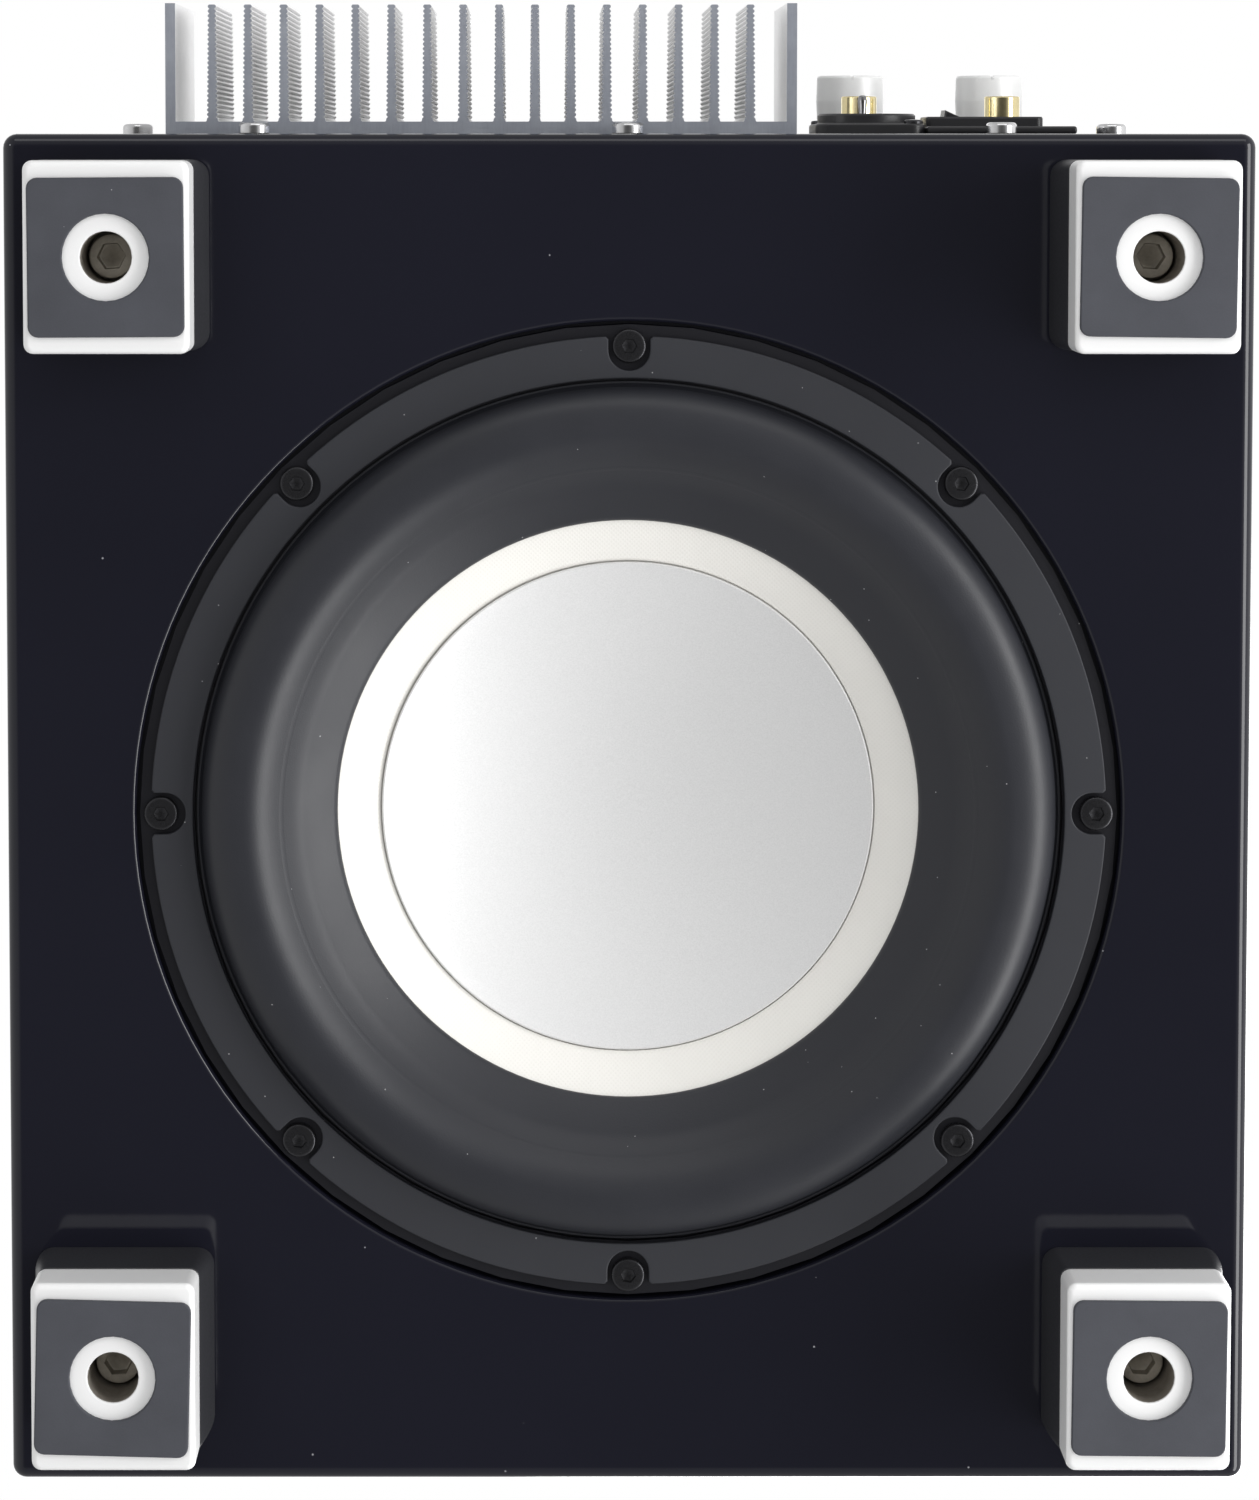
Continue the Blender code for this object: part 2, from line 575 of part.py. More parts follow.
def make_feet():
    """Make the four feet: dark upper block, metal lower block, rubber pad and bolt."""
    cap_z = PAD_THICK + GAP
    base_low = SEAM_Z + GAP
    base_high = BASE_Z - GAP
    pocket_z = SPIGOT_TOP_Z + GAP
    seat_z = BOLT_HEAD_Z + BOLT_HEAD_HEIGHT + GAP
    block = rounded_rectangle(FOOT_WIDE, FOOT_DEEP, FOOT_CORNER, 2)
    pad_outline = rounded_rectangle(PAD_WIDE, PAD_DEEP, PAD_CORNER, 2)

    base = prism("foot_base", block, base_low, base_high, FOOT_PLASTIC,
                 top_scale=(FOOT_TOP_WIDE / FOOT_WIDE, FOOT_TOP_DEEP / FOOT_DEEP))
    pocket = [(0, base_low - 0.001), (SPIGOT_RADIUS + 0.0005, base_low - 0.001),
              (SPIGOT_RADIUS + 0.0005, pocket_z), (BOLT_CLEARANCE, pocket_z),
              (BOLT_CLEARANCE, base_high + 0.001), (0, base_high + 0.001)]
    cut(base, turned("cutter", pocket, 16, STEEL))

    cap = prism("foot_cap", block, cap_z, SEAM_Z, FOOT_METAL)
    join(cap, round_cutter(SPIGOT_RADIUS, SEAM_Z - 0.002, SPIGOT_TOP_Z, 16))
    bore = [(0, cap_z - 0.001), (BOLT_BORE, cap_z - 0.001), (BOLT_BORE, seat_z), (BOLT_CLEARANCE, seat_z),
            (BOLT_CLEARANCE, SPIGOT_TOP_Z + 0.001), (0, SPIGOT_TOP_Z + 0.001)]
    cut(cap, turned("cutter", bore, 16, STEEL))

    pad = prism("foot_pad", pad_outline, 0, PAD_THICK, PAD_RUBBER)
    cut(pad, round_cutter(PAD_HOLE, -0.001, PAD_THICK + 0.001, 20))

    under = BOLT_HEAD_Z + BOLT_HEAD_HEIGHT
    bolt_profile = [(0, BOLT_HEAD_Z), (BOLT_HEAD_RADIUS - 0.0004, BOLT_HEAD_Z),
                    (BOLT_HEAD_RADIUS, BOLT_HEAD_Z + 0.0004), (BOLT_HEAD_RADIUS, under),
                    (BOLT_RADIUS, under), (BOLT_RADIUS, BOLT_END_Z), (0, BOLT_END_Z)]
    bolt = turned("foot_bolt", bolt_profile, 12, BOLT_METAL)
    cut(bolt, prism("cutter", hex_outline(BOLT_KEY), BOLT_HEAD_Z - 0.001, BOLT_HEAD_Z + 0.003, STEEL))

    for name, x, y, turn in foot_places():
        for kind, source, angle in (("foot_base", base, 0), ("foot_cap", cap, 0),
                                    ("foot_pad", pad, turn), ("foot_bolt", bolt, 0)):
            place(f"{kind}_{name}", source.data, FOOT_METAL, (x, y, 0), (0, 0, angle))
    for source in (base, cap, pad, bolt):
        bpy.data.objects.remove(source, do_unlink=True)


# ---------------------------------------------------------------- amplifier

def make_amp_plate():
    """Make the flush plate with a hole for everything that goes through it."""
    plate = box("amp_plate", (-PLATE_HALF_WIDTH, PLATE_BACK_Y, PLATE_LOW_Z),
                (PLATE_HALF_WIDTH, PLATE_FACE_Y, PLATE_HIGH_Z), PLATE_PAINT)
    holes = [rear_cutter(0.0019, x, z, steps=8) for x, z in plate_screw_places()]
    for x in (COLUMN_A_X, COLUMN_B_X):
        holes.append(rear_cutter(SHAFT_RADIUS + 0.0006, x, KNOB_Z))
        holes.append(rear_cutter(0.0038, x, PHONO_Z))
    holes.append(rear_cutter(0.0029, TOGGLE_X, TOGGLE_Z))
    holes.append(rear_cutter(0.0112, SPEAKER_SOCKET_X, SPEAKER_SOCKET_Z, steps=24))
    wall = 0.0005
    holes.append(box("cutter", (MODULE_X - MODULE_HALF_WIDTH + wall, PLATE_BACK_Y - 0.01, MODULE_LOW_Z + wall),
                     (MODULE_X + MODULE_HALF_WIDTH - wall, REAR_Y + 0.01, MODULE_HIGH_Z - wall), STEEL))
    cut(plate, *holes)


def make_heat_sink():
    """Make the finned extrusion: two thick end fins and tapered ones between them."""
    left, right = HEAT_SINK_X
    half_end = END_FIN_THICK / 2
    first = left + half_end + END_FIN_STEP
    last = right - half_end - END_FIN_STEP
    inner_count = FIN_COUNT - 2
    centres = [first + (last - first) * index / (inner_count - 1) for index in range(inner_count)]
    fins = [(left + half_end, END_FIN_THICK, END_FIN_THICK)]
    fins += [(centre, FIN_ROOT, FIN_TIP) for centre in centres]
    fins += [(right - half_end, END_FIN_THICK, END_FIN_THICK)]
    back_y = PLATE_FACE_Y + GAP
    tip_y = REAR_Y + HEAT_SINK_REACH
    outline = [(right, back_y), (left, back_y)]
    for centre, root, tip in fins:
        outline += [(centre - root / 2, HEAT_SINK_BASE_Y), (centre - tip / 2, tip_y),
                    (centre + tip / 2, tip_y), (centre + root / 2, HEAT_SINK_BASE_Y)]
    outline = [point for index, point in enumerate(outline) if index not in (2, len(outline) - 1)]
    prism("heat_sink", outline, *HEAT_SINK_Z, SINK_METAL)


def make_amp_inside():
    """Make the circuit board with its parts, and the toroidal transformer with its clamp."""
    board = box("amp_board", (BOARD_X[0], BOARD_FRONT_Y, BOARD_Z[0]), (BOARD_X[1], BOARD_BACK_Y, BOARD_Z[1]),
                BOARD_GREEN)
    overlap = 0.0005
    parts = []
    for x in (COLUMN_A_X, COLUMN_B_X):
        parts.append(box("tool", (x - 0.008, BOARD_BACK_Y - overlap, KNOB_Z - 0.008),
                         (x + 0.008, SHAFT_END_Y - GAP, KNOB_Z + 0.008), STEEL))
    for x in (-0.096, -0.025):
        parts.append(round_cutter(0.003, BOARD_BACK_Y - overlap, PLATE_BACK_Y - GAP, 8, (x, 0, 0.252),
                                  (-math.pi / 2, 0, 0)))
    for x in (-0.088, -0.066, -0.044):
        parts.append(round_cutter(CAPACITOR_RADIUS, BOARD_FRONT_Y - CAPACITOR_LENGTH, BOARD_FRONT_Y + overlap,
                                  12, (x, 0, TRANSFORMER_Z), (-math.pi / 2, 0, 0)))
    parts.append(box("tool", (-0.068, BOARD_FRONT_Y - 0.010, BOARD_Z[0] + 0.002),
                     (-0.052, BOARD_FRONT_Y + overlap, BOARD_Z[0] + 0.012), STEEL))
    join(board, *parts)

    high_y = PLATE_BACK_Y - GAP
    low_y = high_y - TRANSFORMER_THICK
    edge = TRANSFORMER_EDGE
    inner, outer = TRANSFORMER_BORE, TRANSFORMER_RADIUS
    toroid = [(inner, low_y + edge), (inner + edge, low_y), (outer - edge, low_y), (outer, low_y + edge),
              (outer, high_y - edge), (outer - edge, high_y), (inner + edge, high_y), (inner, high_y - edge)]
    facing_rear("transformer", toroid, 24, TRANSFORMER_WRAP, TRANSFORMER_X, TRANSFORMER_Z)
    dish = [(0, low_y - 0.007), (0.0055, low_y - 0.007), (0.0055, low_y - 0.0025), (0.03, low_y - 0.0018),
            (0.03, low_y - GAP), (0.004, low_y - GAP), (0.004, high_y), (0, high_y)]
    facing_rear("transformer_clamp", dish, 16, STEEL, TRANSFORMER_X, TRANSFORMER_Z)


def make_sockets():
    """Make the phono sockets and the round speaker socket."""
    for index, x in enumerate((COLUMN_A_X, COLUMN_B_X), start=1):
        profile = [(0, REAR_Y - 0.012), (0.0033, REAR_Y - 0.012), (0.0033, PLATE_FACE_Y + GAP),
                   (0.0055, PLATE_FACE_Y + GAP), (0.0055, REAR_Y + 0.0018), (PHONO_RADIUS, REAR_Y + 0.0018),
                   (PHONO_RADIUS, PHONO_TIP_Y), (0.0017, PHONO_TIP_Y), (0.0017, PHONO_TIP_Y - 0.007),
                   (0, PHONO_TIP_Y - 0.007)]
        facing_rear(f"phono_socket_{index}", profile, 14, GOLD, x, PHONO_Z)

    flange = rounded_rectangle(0.024, 0.031, 0.003, 2)
    socket = prism("speaker_socket", flange, PLATE_FACE_Y + GAP, REAR_Y + 0.00235, SOCKET_PLASTIC,
                   (SPEAKER_SOCKET_X, 0, SPEAKER_SOCKET_Z), (-math.pi / 2, 0, 0))
    barrel = round_cutter(0.0108, REAR_Y - 0.016, REAR_Y + 0.0046, 24, (SPEAKER_SOCKET_X, 0, SPEAKER_SOCKET_Z),
                          (-math.pi / 2, 0, 0))
    join(socket, barrel)
    cut(socket, rear_cutter(0.0094, SPEAKER_SOCKET_X, SPEAKER_SOCKET_Z, REAR_Y - 0.0135, REAR_Y + 0.01, 24))


def make_power_inlet():
    """Make the mains module: flange, body, inlet socket with a proud rim and the rocker's well."""
    face = PLATE_FACE_Y + GAP
    wall = 0.0009
    back_y = REAR_Y - 0.026
    module = box("power_inlet", (MODULE_X - MODULE_HALF_WIDTH, face, MODULE_LOW_Z),
                 (MODULE_X + MODULE_HALF_WIDTH, MODULE_FACE_Y, MODULE_HIGH_Z), SOCKET_PLASTIC)
    body = box("tool", (MODULE_X - MODULE_HALF_WIDTH + wall, back_y, MODULE_LOW_Z + wall),
               (MODULE_X + MODULE_HALF_WIDTH - wall, MODULE_FACE_Y - 0.0005, MODULE_HIGH_Z - wall), STEEL)
    rim_x = INLET_HALF_WIDTH + INLET_RIM[0]
    rim_z = INLET_HALF_HEIGHT + INLET_RIM[1]
    rim = box("tool", (INLET_X - rim_x, MODULE_FACE_Y - 0.001, INLET_Z - rim_z),
              (INLET_X + rim_x, REAR_Y + 0.0039, INLET_Z + rim_z), STEEL)
    join(module, body, rim)
    well_x = ROCKER_HALF_LENGTH + 0.0014
    well_z = ROCKER_HALF_WIDTH + 0.0004
    socket = box("cutter", (INLET_X - INLET_HALF_WIDTH, REAR_Y - 0.0125, INLET_Z - INLET_HALF_HEIGHT),
                 (INLET_X + INLET_HALF_WIDTH, REAR_Y + 0.01, INLET_Z + INLET_HALF_HEIGHT), STEEL)
    well = box("cutter", (ROCKER_X - well_x, ROCKER_PIVOT_Y - 0.0055, ROCKER_Z - well_z),
               (ROCKER_X + well_x, REAR_Y + 0.01, ROCKER_Z + well_z), STEEL)
    cut(module, socket, well)


def make_switches():
    """Make the rocker, the toggle's bushing with its body, and the toggle's lever."""
    tip, valley, belly = 0.0056, 0.0042, -0.0015
    outline = [(-ROCKER_HALF_LENGTH, belly), (ROCKER_HALF_LENGTH, belly), (ROCKER_HALF_LENGTH, tip),
               (0, valley), (-ROCKER_HALF_LENGTH, tip)]
    prism("power_rocker", outline, ROCKER_Z - ROCKER_HALF_WIDTH, ROCKER_Z + ROCKER_HALF_WIDTH,
          SOCKET_PLASTIC, (ROCKER_X, ROCKER_PIVOT_Y, 0), (0, 0, ROCKER_TILT))

    mouth_y = PLATE_FACE_Y + 0.0027
    bushing = [(0, PLATE_BACK_Y - 0.004), (0.0024, PLATE_BACK_Y - 0.004), (0.0024, mouth_y),
               (0.0017, mouth_y), (0.0017, TOGGLE_PIVOT_Y - 0.0015), (0, TOGGLE_PIVOT_Y - 0.0015)]
    switch = facing_rear("toggle_bushing", bushing, 12, GOLD, TOGGLE_X, TOGGLE_Z)
    case = box("tool", (TOGGLE_X - 0.003, PLATE_BACK_Y - 0.012, TOGGLE_Z - 0.006),
               (TOGGLE_X + 0.003, PLATE_BACK_Y - GAP, TOGGLE_Z + 0.006), STEEL)
    join(switch, case)
    lever = [(0, -0.0009), (0.0008, -0.0005), (0.0008, 0.0045), (0.0011, 0.0074), (0.0008, 0.0083), (0, 0.0086)]
    turned("toggle_lever", lever, 10, CHROME, (TOGGLE_X, TOGGLE_PIVOT_Y, TOGGLE_Z),
           (TOGGLE_TILT - math.pi / 2, 0, 0))


def make_knobs():
    """Make the level and crossover knobs with their shafts."""
    bevel = 0.0006
    profile = [(0, SHAFT_END_Y), (SHAFT_RADIUS, SHAFT_END_Y), (SHAFT_RADIUS, KNOB_BACK_Y),
               (KNOB_RADIUS, KNOB_BACK_Y), (KNOB_RADIUS, KNOB_TIP_Y - bevel),
               (KNOB_RADIUS - bevel, KNOB_TIP_Y), (0, KNOB_TIP_Y)]
    for name, x in (("knob_crossover", COLUMN_A_X), ("knob_level", COLUMN_B_X)):
        facing_rear(name, profile, 20, KNOB_METAL, x, KNOB_Z)


def make_plate_screws():
    """Make the amplifier plate's pan-head screws."""
    under = PLATE_FACE_Y + GAP
    profile = [(0, PLATE_SCREW_END_Y), (PLATE_SCREW_SHANK, PLATE_SCREW_END_Y), (PLATE_SCREW_SHANK, under),
               (PLATE_SCREW_RADIUS, under), (PLATE_SCREW_RADIUS, REAR_Y + 0.0012), (0.0022, REAR_Y + 0.0024),
               (0, REAR_Y + 0.0025)]
    for index, (x, z) in enumerate(plate_screw_places(), start=1):
        facing_rear(f"plate_screw_{index}", profile, 10, CHROME, x, z)


def smooth_route(points, spacing):
    """Return places at an even spacing on a smooth curve through the points."""
    padded = [points[0] * 2 - points[1]] + points + [points[-1] * 2 - points[-2]]
    dense = []
    for before, start, end, after in zip(padded, padded[1:], padded[2:], padded[3:]):
        for step in range(24):
            t = step / 24
            dense.append(0.5 * (2 * start + (end - before) * t
                                + (2 * before - 5 * start + 4 * end - after) * t ** 2
                                + (3 * start - before - 3 * end + after) * t ** 3))
    dense.append(points[-1])
    route = [dense[0]]
    travelled = 0.0
    for previous, current in zip(dense, dense[1:]):
        travelled += (current - previous).length
        if travelled >= spacing:
            route.append(current)
            travelled = 0.0
    if (route[-1] - points[-1]).length < spacing / 2:
        route.pop()
    route.append(points[-1])
    return route


def make_driver_lead():
    """Make the lead from the circuit board's terminal block to the driver's frame."""
    radius = 0.002
    start_z = 0.122 - GAP
    end_x = -0.0785
    points = [Vector(point) for point in (
        (-0.060, 0.1066, start_z), (-0.060, 0.1062, 0.112), (-0.061, 0.101, 0.094), (-0.066, 0.086, 0.074),
        (-0.078, 0.062, 0.062), (-0.092, 0.034, 0.0585), (-0.099, 0.008, 0.0585), (-0.096, -0.008, 0.0595),
        (-0.086, -0.0141, 0.0600), (end_x, DRIVER_Y, 0.0600))]
    curve = bpy.data.curves.new("driver_lead", "CURVE")
    curve.dimensions = "3D"
    curve.bevel_depth = radius
    curve.bevel_resolution = 1
    curve.use_fill_caps = True
    route = smooth_route(points, 0.008)
    spline = curve.splines.new("POLY")
    spline.points.add(len(route) - 1)
    for target, point in zip(spline.points, route):
        target.co = (*point, 1.0)
    curve.materials.append(material(LEAD_JACKET))
    lead = bpy.data.objects.new("driver_lead", curve)
    bpy.context.scene.collection.objects.link(lead)


def make_amplifier():
    """Make the rear plate and everything on and behind it."""
    make_amp_plate()
    make_heat_sink()
    make_amp_inside()
    make_sockets()
    make_power_inlet()
    make_switches()
    make_knobs()
    make_plate_screws()
    make_driver_lead()


def main():
    """Clear the scene and build the subwoofer."""
    for existing in list(bpy.data.objects):
        bpy.data.objects.remove(existing, do_unlink=True)
    make_cabinet()
    make_driver()
    make_feet()
    make_amplifier()


main()
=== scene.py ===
"""Looks of a free-standing subwoofer whose driver faces the floor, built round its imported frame.

Lengths are in metres.
"""
import functools
import logging
import math
from dataclasses import dataclass
from enum import Enum
from typing import Callable, Iterable, Sequence

import bmesh
import bpy
from mathutils import Matrix, Vector, geometry


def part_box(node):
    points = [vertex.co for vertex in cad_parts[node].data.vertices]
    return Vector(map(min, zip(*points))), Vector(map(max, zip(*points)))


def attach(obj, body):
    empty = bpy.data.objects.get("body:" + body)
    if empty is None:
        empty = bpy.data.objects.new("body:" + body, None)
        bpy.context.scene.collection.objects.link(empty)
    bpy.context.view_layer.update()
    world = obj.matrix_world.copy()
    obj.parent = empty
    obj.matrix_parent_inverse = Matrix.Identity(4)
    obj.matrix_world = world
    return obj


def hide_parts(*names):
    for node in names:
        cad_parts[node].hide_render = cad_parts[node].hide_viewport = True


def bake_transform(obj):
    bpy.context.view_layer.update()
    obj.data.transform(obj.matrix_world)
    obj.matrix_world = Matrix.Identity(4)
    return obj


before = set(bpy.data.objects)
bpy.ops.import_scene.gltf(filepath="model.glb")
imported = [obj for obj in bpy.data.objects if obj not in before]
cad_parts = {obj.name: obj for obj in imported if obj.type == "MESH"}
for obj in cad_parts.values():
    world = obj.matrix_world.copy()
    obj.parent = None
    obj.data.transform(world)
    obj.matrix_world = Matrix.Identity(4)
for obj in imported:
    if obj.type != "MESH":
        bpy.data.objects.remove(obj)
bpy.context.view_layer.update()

LOG = logging.getLogger("subwoofer")

Colour = tuple[float, float, float]
Point = tuple[float, float]
Outline = list[Vector]


# ---------------------------------------------------------------- shader graphs

class Wire:
    """An output socket in shader arithmetic: each operator adds a Math node."""

    def __init__(self, graph: "Graph", socket: bpy.types.NodeSocket) -> None:
        """Wrap an output socket of a graph."""
        self.graph = graph
        self.socket = socket

    def part(self, name: str) -> "Wire":
        """Return another output of the same node."""
        return Wire(self.graph, self.socket.node.outputs[name])

    def __add__(self, other: "Wire | float") -> "Wire":
        """Add a value."""
        return self.graph.maths("ADD", self, other)

    def __sub__(self, other: "Wire | float") -> "Wire":
        """Subtract a value."""
        return self.graph.maths("SUBTRACT", self, other)

    def __rsub__(self, other: float) -> "Wire":
        """Subtract this from a number."""
        return self.graph.maths("SUBTRACT", other, self)

    def __mul__(self, other: "Wire | float") -> "Wire":
        """Multiply by a value."""
        return self.graph.maths("MULTIPLY", self, other)

    def __lt__(self, other: "Wire | float") -> "Wire":
        """Give one where this is below a value."""
        return self.graph.maths("LESS_THAN", self, other)

    def __gt__(self, other: "Wire | float") -> "Wire":
        """Give one where this is above a value."""
        return self.graph.maths("GREATER_THAN", self, other)

    __radd__ = __add__
    __rmul__ = __mul__


Value = Wire | float | Sequence[float]


def opaque(colour: Colour, gain: float = 1.0) -> tuple[float, float, float, float]:
    """Return a colour, made lighter or darker, as a shader socket takes it.

    Args:
        colour: Linear red, green and blue.
        gain: What each of them is multiplied by.

    Returns:
        Red, green, blue and a full alpha.
    """
    return (*(min(1.0, channel * gain) for channel in colour), 1.0)


class Graph:
    """The node tree of a material or of the world."""

    def __init__(self, tree: bpy.types.NodeTree) -> None:
        """Start from an empty tree."""
        self.tree = tree
        tree.nodes.clear()

    def node(self, kind: str, settings: dict | None = None, inputs: dict | None = None,
             output: int | str = 0) -> Wire | None:
        """Add one node.

        Args:
            kind: The node's type name.
            settings: Its own properties, set first; "stops" gives a ramp's positions and greys.
            inputs: Values or wires, by socket name or index.
            output: Which output is returned.

        Returns:
            The chosen output, or None for a node without any.
        """
        made = self.tree.nodes.new(kind)
        for key, value in (settings or {}).items():
            if key == "stops":
                self._set_stops(made.color_ramp, value)
            else:
                setattr(made, key, value)
        for key, value in (inputs or {}).items():
            socket = made.inputs[key]
            if isinstance(value, Wire):
                self.tree.links.new(value.socket, socket)
            else:
                socket.default_value = value
        return Wire(self, made.outputs[output]) if made.outputs else None

    @staticmethod
    def _set_stops(ramp: bpy.types.ColorRamp, stops: Sequence[tuple[float, float]]) -> None:
        """Give a ramp its stops.

        Args:
            ramp: The ramp, which has two stops to begin with.
            stops: Position and grey level of each stop, in order.
        """
        while len(ramp.elements) < len(stops):
            ramp.elements.new(1.0)
        for element, (position, level) in zip(ramp.elements, stops):
            element.position = position
            element.color = (level, level, level, 1.0)

    def maths(self, operation: str, *values: Value) -> Wire:
        """Add one Math node and return its value."""
        return self.node("ShaderNodeMath", {"operation": operation}, dict(enumerate(values)))

    def blend(self, factor: Value, first: Value, second: Value) -> Wire:
        """Mix two colours and return the mixture."""
        return self.node("ShaderNodeMix", {"data_type": "RGBA"}, {0: factor, 6: first, 7: second}, output=2)

    def ramp(self, value: Wire, *stops: tuple[float, float]) -> Wire:
        """Send a value through a ramp of greys and return the result."""
        return self.node("ShaderNodeValToRGB", {"stops": stops}, {"Fac": value})

    def place(self, stretch: Sequence[float] = (1, 1, 1), turn: Sequence[float] = (0, 0, 0)) -> Wire:
        """Return object coordinates, turned and stretched.

        Args:
            stretch: Scale along each axis.
            turn: Rotation in radians.

        Returns:
            The mapped coordinates.
        """
        where = self.node("ShaderNodeTexCoord", output="Object")
        return self.node("ShaderNodeMapping", None, {"Vector": where, "Rotation": turn, "Scale": stretch})

    def noise(self, scale: float, detail: float = 3.0, stretch: Sequence[float] = (1, 1, 1),
              rough: float = 0.55, twist: float = 0.0) -> Wire:
        """Return a noise value.

        Args:
            scale: Features per metre.
            detail: Octaves.
            stretch: Scale along each axis, which draws the noise out into streaks.
            rough: How strong the finer octaves are.
            twist: How far the pattern is distorted.

        Returns:
            A value about 0.5.
        """
        return self.node("ShaderNodeTexNoise", None,
                         {"Vector": self.place(stretch), "Scale": scale, "Detail": detail,
                          "Roughness": rough, "Distortion": twist})

    def specks(self, pitch: float, size: float) -> Wire:
        """Return a mask of a few tiny specks of dust.

        Args:
            pitch: How far apart specks may lie, before most of them are lost.
            size: The radius of the largest.

        Returns:
            One inside a speck and zero elsewhere.
        """
        cell = self.node("ShaderNodeTexVoronoi", None, {"Vector": self.place(), "Scale": 1 / pitch})
        return cell < size / pitch

    def bump(self, height: Value, depth: float, strength: float = 1.0, under: Wire | None = None) -> Wire:
        """Return a normal raised by a height.

        Args:
            height: The height, from 0 to 1.
            depth: How many metres a height of one is.
            strength: How much of it is used.
            under: A normal that it is added to.

        Returns:
            The normal.
        """
        inputs = {"Height": height, "Distance": depth, "Strength": strength}
        if under is not None:
            inputs["Normal"] = under
        return self.node("ShaderNodeBump", None, inputs)

    def close(self, shader: Wire) -> None:
        """Join a shader to the material's output."""
        self.node("ShaderNodeOutputMaterial", None, {"Surface": shader})

    def principled(self, sockets: dict[str, Value]) -> None:
        """Close the graph with one Principled shader of these socket values."""
        self.close(self.node("ShaderNodeBsdfPrincipled", None, sockets))


# ---------------------------------------------------------------- finishes

# The scale at which a Wave texture repeats once a metre, nearly.
BAND_SCALE = 0.314


@dataclass(frozen=True)
class Finish:
    """What a surface is made of. Each kind returns the Principled sockets that make its look."""

    slot: str

    def sockets(self, graph: Graph) -> dict[str, Value]:
        """Build the pattern in a graph and return the Principled sockets that it feeds."""
        raise NotImplementedError


@dataclass(frozen=True)
class Lacquer(Finish):
    """Deep polished lacquer: faint orange peel, hairline swirls from a cloth and a few specks of dust."""

    tint: Colour = (0.0085, 0.0087, 0.0150)
    gloss: float = 0.045

    def sockets(self, graph: Graph) -> dict[str, Value]:
        """See Finish.sockets."""
        haze = graph.noise(9, 3)
        swirl = graph.ramp(graph.noise(55, 5, (1, 14, 6), 0.7, 2.5), (0.56, 0.0), (0.72, 1.0))
        dust = graph.specks(0.011, 0.00022)
        peel = graph.noise(160, 2)
        tint = graph.blend(haze, opaque(self.tint, 0.8), opaque(self.tint, 1.25))
        return {
            "Base Color": graph.blend(dust * 0.8, tint, opaque((0.3, 0.3, 0.32))),
            "Roughness": self.gloss + haze * 0.04 + swirl * 0.03 + dust * 0.5,
            "IOR": 1.5,
            "Normal": graph.bump(peel, 0.00002, 0.35),
        }


@dataclass(frozen=True)
class Rubber(Finish):
    """Moulded rubber: blotchy tone, fine grain and dust that it holds."""

    colour: Colour = (0.03, 0.031, 0.035)
    rough: float = 0.55
    blotch: float = 0.2
    grain: float = 0.00003
    dust: float = 0.0002
    dust_pitch: float = 0.0075
    shine: float = 0.5

    def sockets(self, graph: Graph) -> dict[str, Value]:
        """See Finish.sockets."""
        patches = graph.noise(70, 4, rough=0.6)
        fine = graph.noise(2600, 2)
        dust = graph.specks(self.dust_pitch, self.dust)
        dull, bright = opaque(self.colour, 1 - self.blotch), opaque(self.colour, 1 + self.blotch)
        tone = graph.blend(patches, dull, bright)
        tone = graph.blend(fine * 0.35, tone, opaque(self.colour, 1.6))
        return {
            "Base Color": graph.blend(dust * 0.85, tone, opaque((0.55, 0.55, 0.56))),
            "Roughness": self.rough + (patches - 0.5) * 0.14 + (fine - 0.5) * 0.12,
            "Specular IOR Level": self.shine,
            "Normal": graph.bump(fine, self.grain, 0.6, graph.bump(patches, 0.00015, 0.35)),
        }


@dataclass(frozen=True)
class Fibre(Finish):
    """Pressed fibre skin of a cone: cream, with a fine weave and short stray fibres."""

    colour: Colour = (0.86, 0.845, 0.80)
    thread: float = 0.0007

    def sockets(self, graph: Graph) -> dict[str, Value]:
        """See Finish.sockets."""
        warp, weft = (
            graph.node("ShaderNodeTexWave", {"bands_direction": "X"},
                       {"Vector": graph.place(turn=(0, 0, turn)), "Scale": BAND_SCALE / self.thread,
                        "Distortion": 1.2, "Detail": 2.0, "Detail Scale": 4.0}, output="Fac")
            for turn in (math.radians(45), math.radians(-45)))
        weave = warp * weft
        stray = graph.noise(900, 4, (1, 3, 1), 0.65, 3.0)
        cloud = graph.noise(35, 3)
        tone = graph.blend(cloud, opaque(self.colour, 0.95), opaque(self.colour, 1.04))
        tone = graph.blend(weave * 0.18, tone, opaque(self.colour, 0.80))
        return {
            "Base Color": graph.blend((stray > 0.66) * 0.25, tone, opaque((0.66, 0.62, 0.52))),
            "Roughness": 0.72 + stray * 0.2,
            "Sheen Weight": 0.15,
            "Normal": graph.bump(weave + stray * 0.6, 0.00006, 0.5),
        }


@dataclass(frozen=True)
class Satin(Finish):
    """Bead-blasted and anodised aluminium: a fine sparkle over a satin sheen."""

    colour: Colour = (0.80, 0.805, 0.815)
    rough: float = 0.40
    sparkle: float = 0.22
    crater: float = 0.000012
    pitch: float = 0.00035
    metallic: float = 0.5

    def sockets(self, graph: Graph) -> dict[str, Value]:
        """See Finish.sockets."""
        fleck = graph.noise(1 / self.pitch, 3, rough=0.75)
        cloud = graph.noise(22, 3)
        gain = self.sparkle
        tone = graph.blend(fleck, opaque(self.colour, 1 - gain), opaque(self.colour, 1 + gain))
        return {
            "Base Color": graph.blend(cloud * 0.5, tone, opaque(self.colour)),
            "Metallic": self.metallic,
            "Roughness": self.rough + (fleck - 0.5) * 0.25 + (cloud - 0.5) * 0.04,
            "Normal": graph.bump(fleck, self.crater, 0.8),
        }


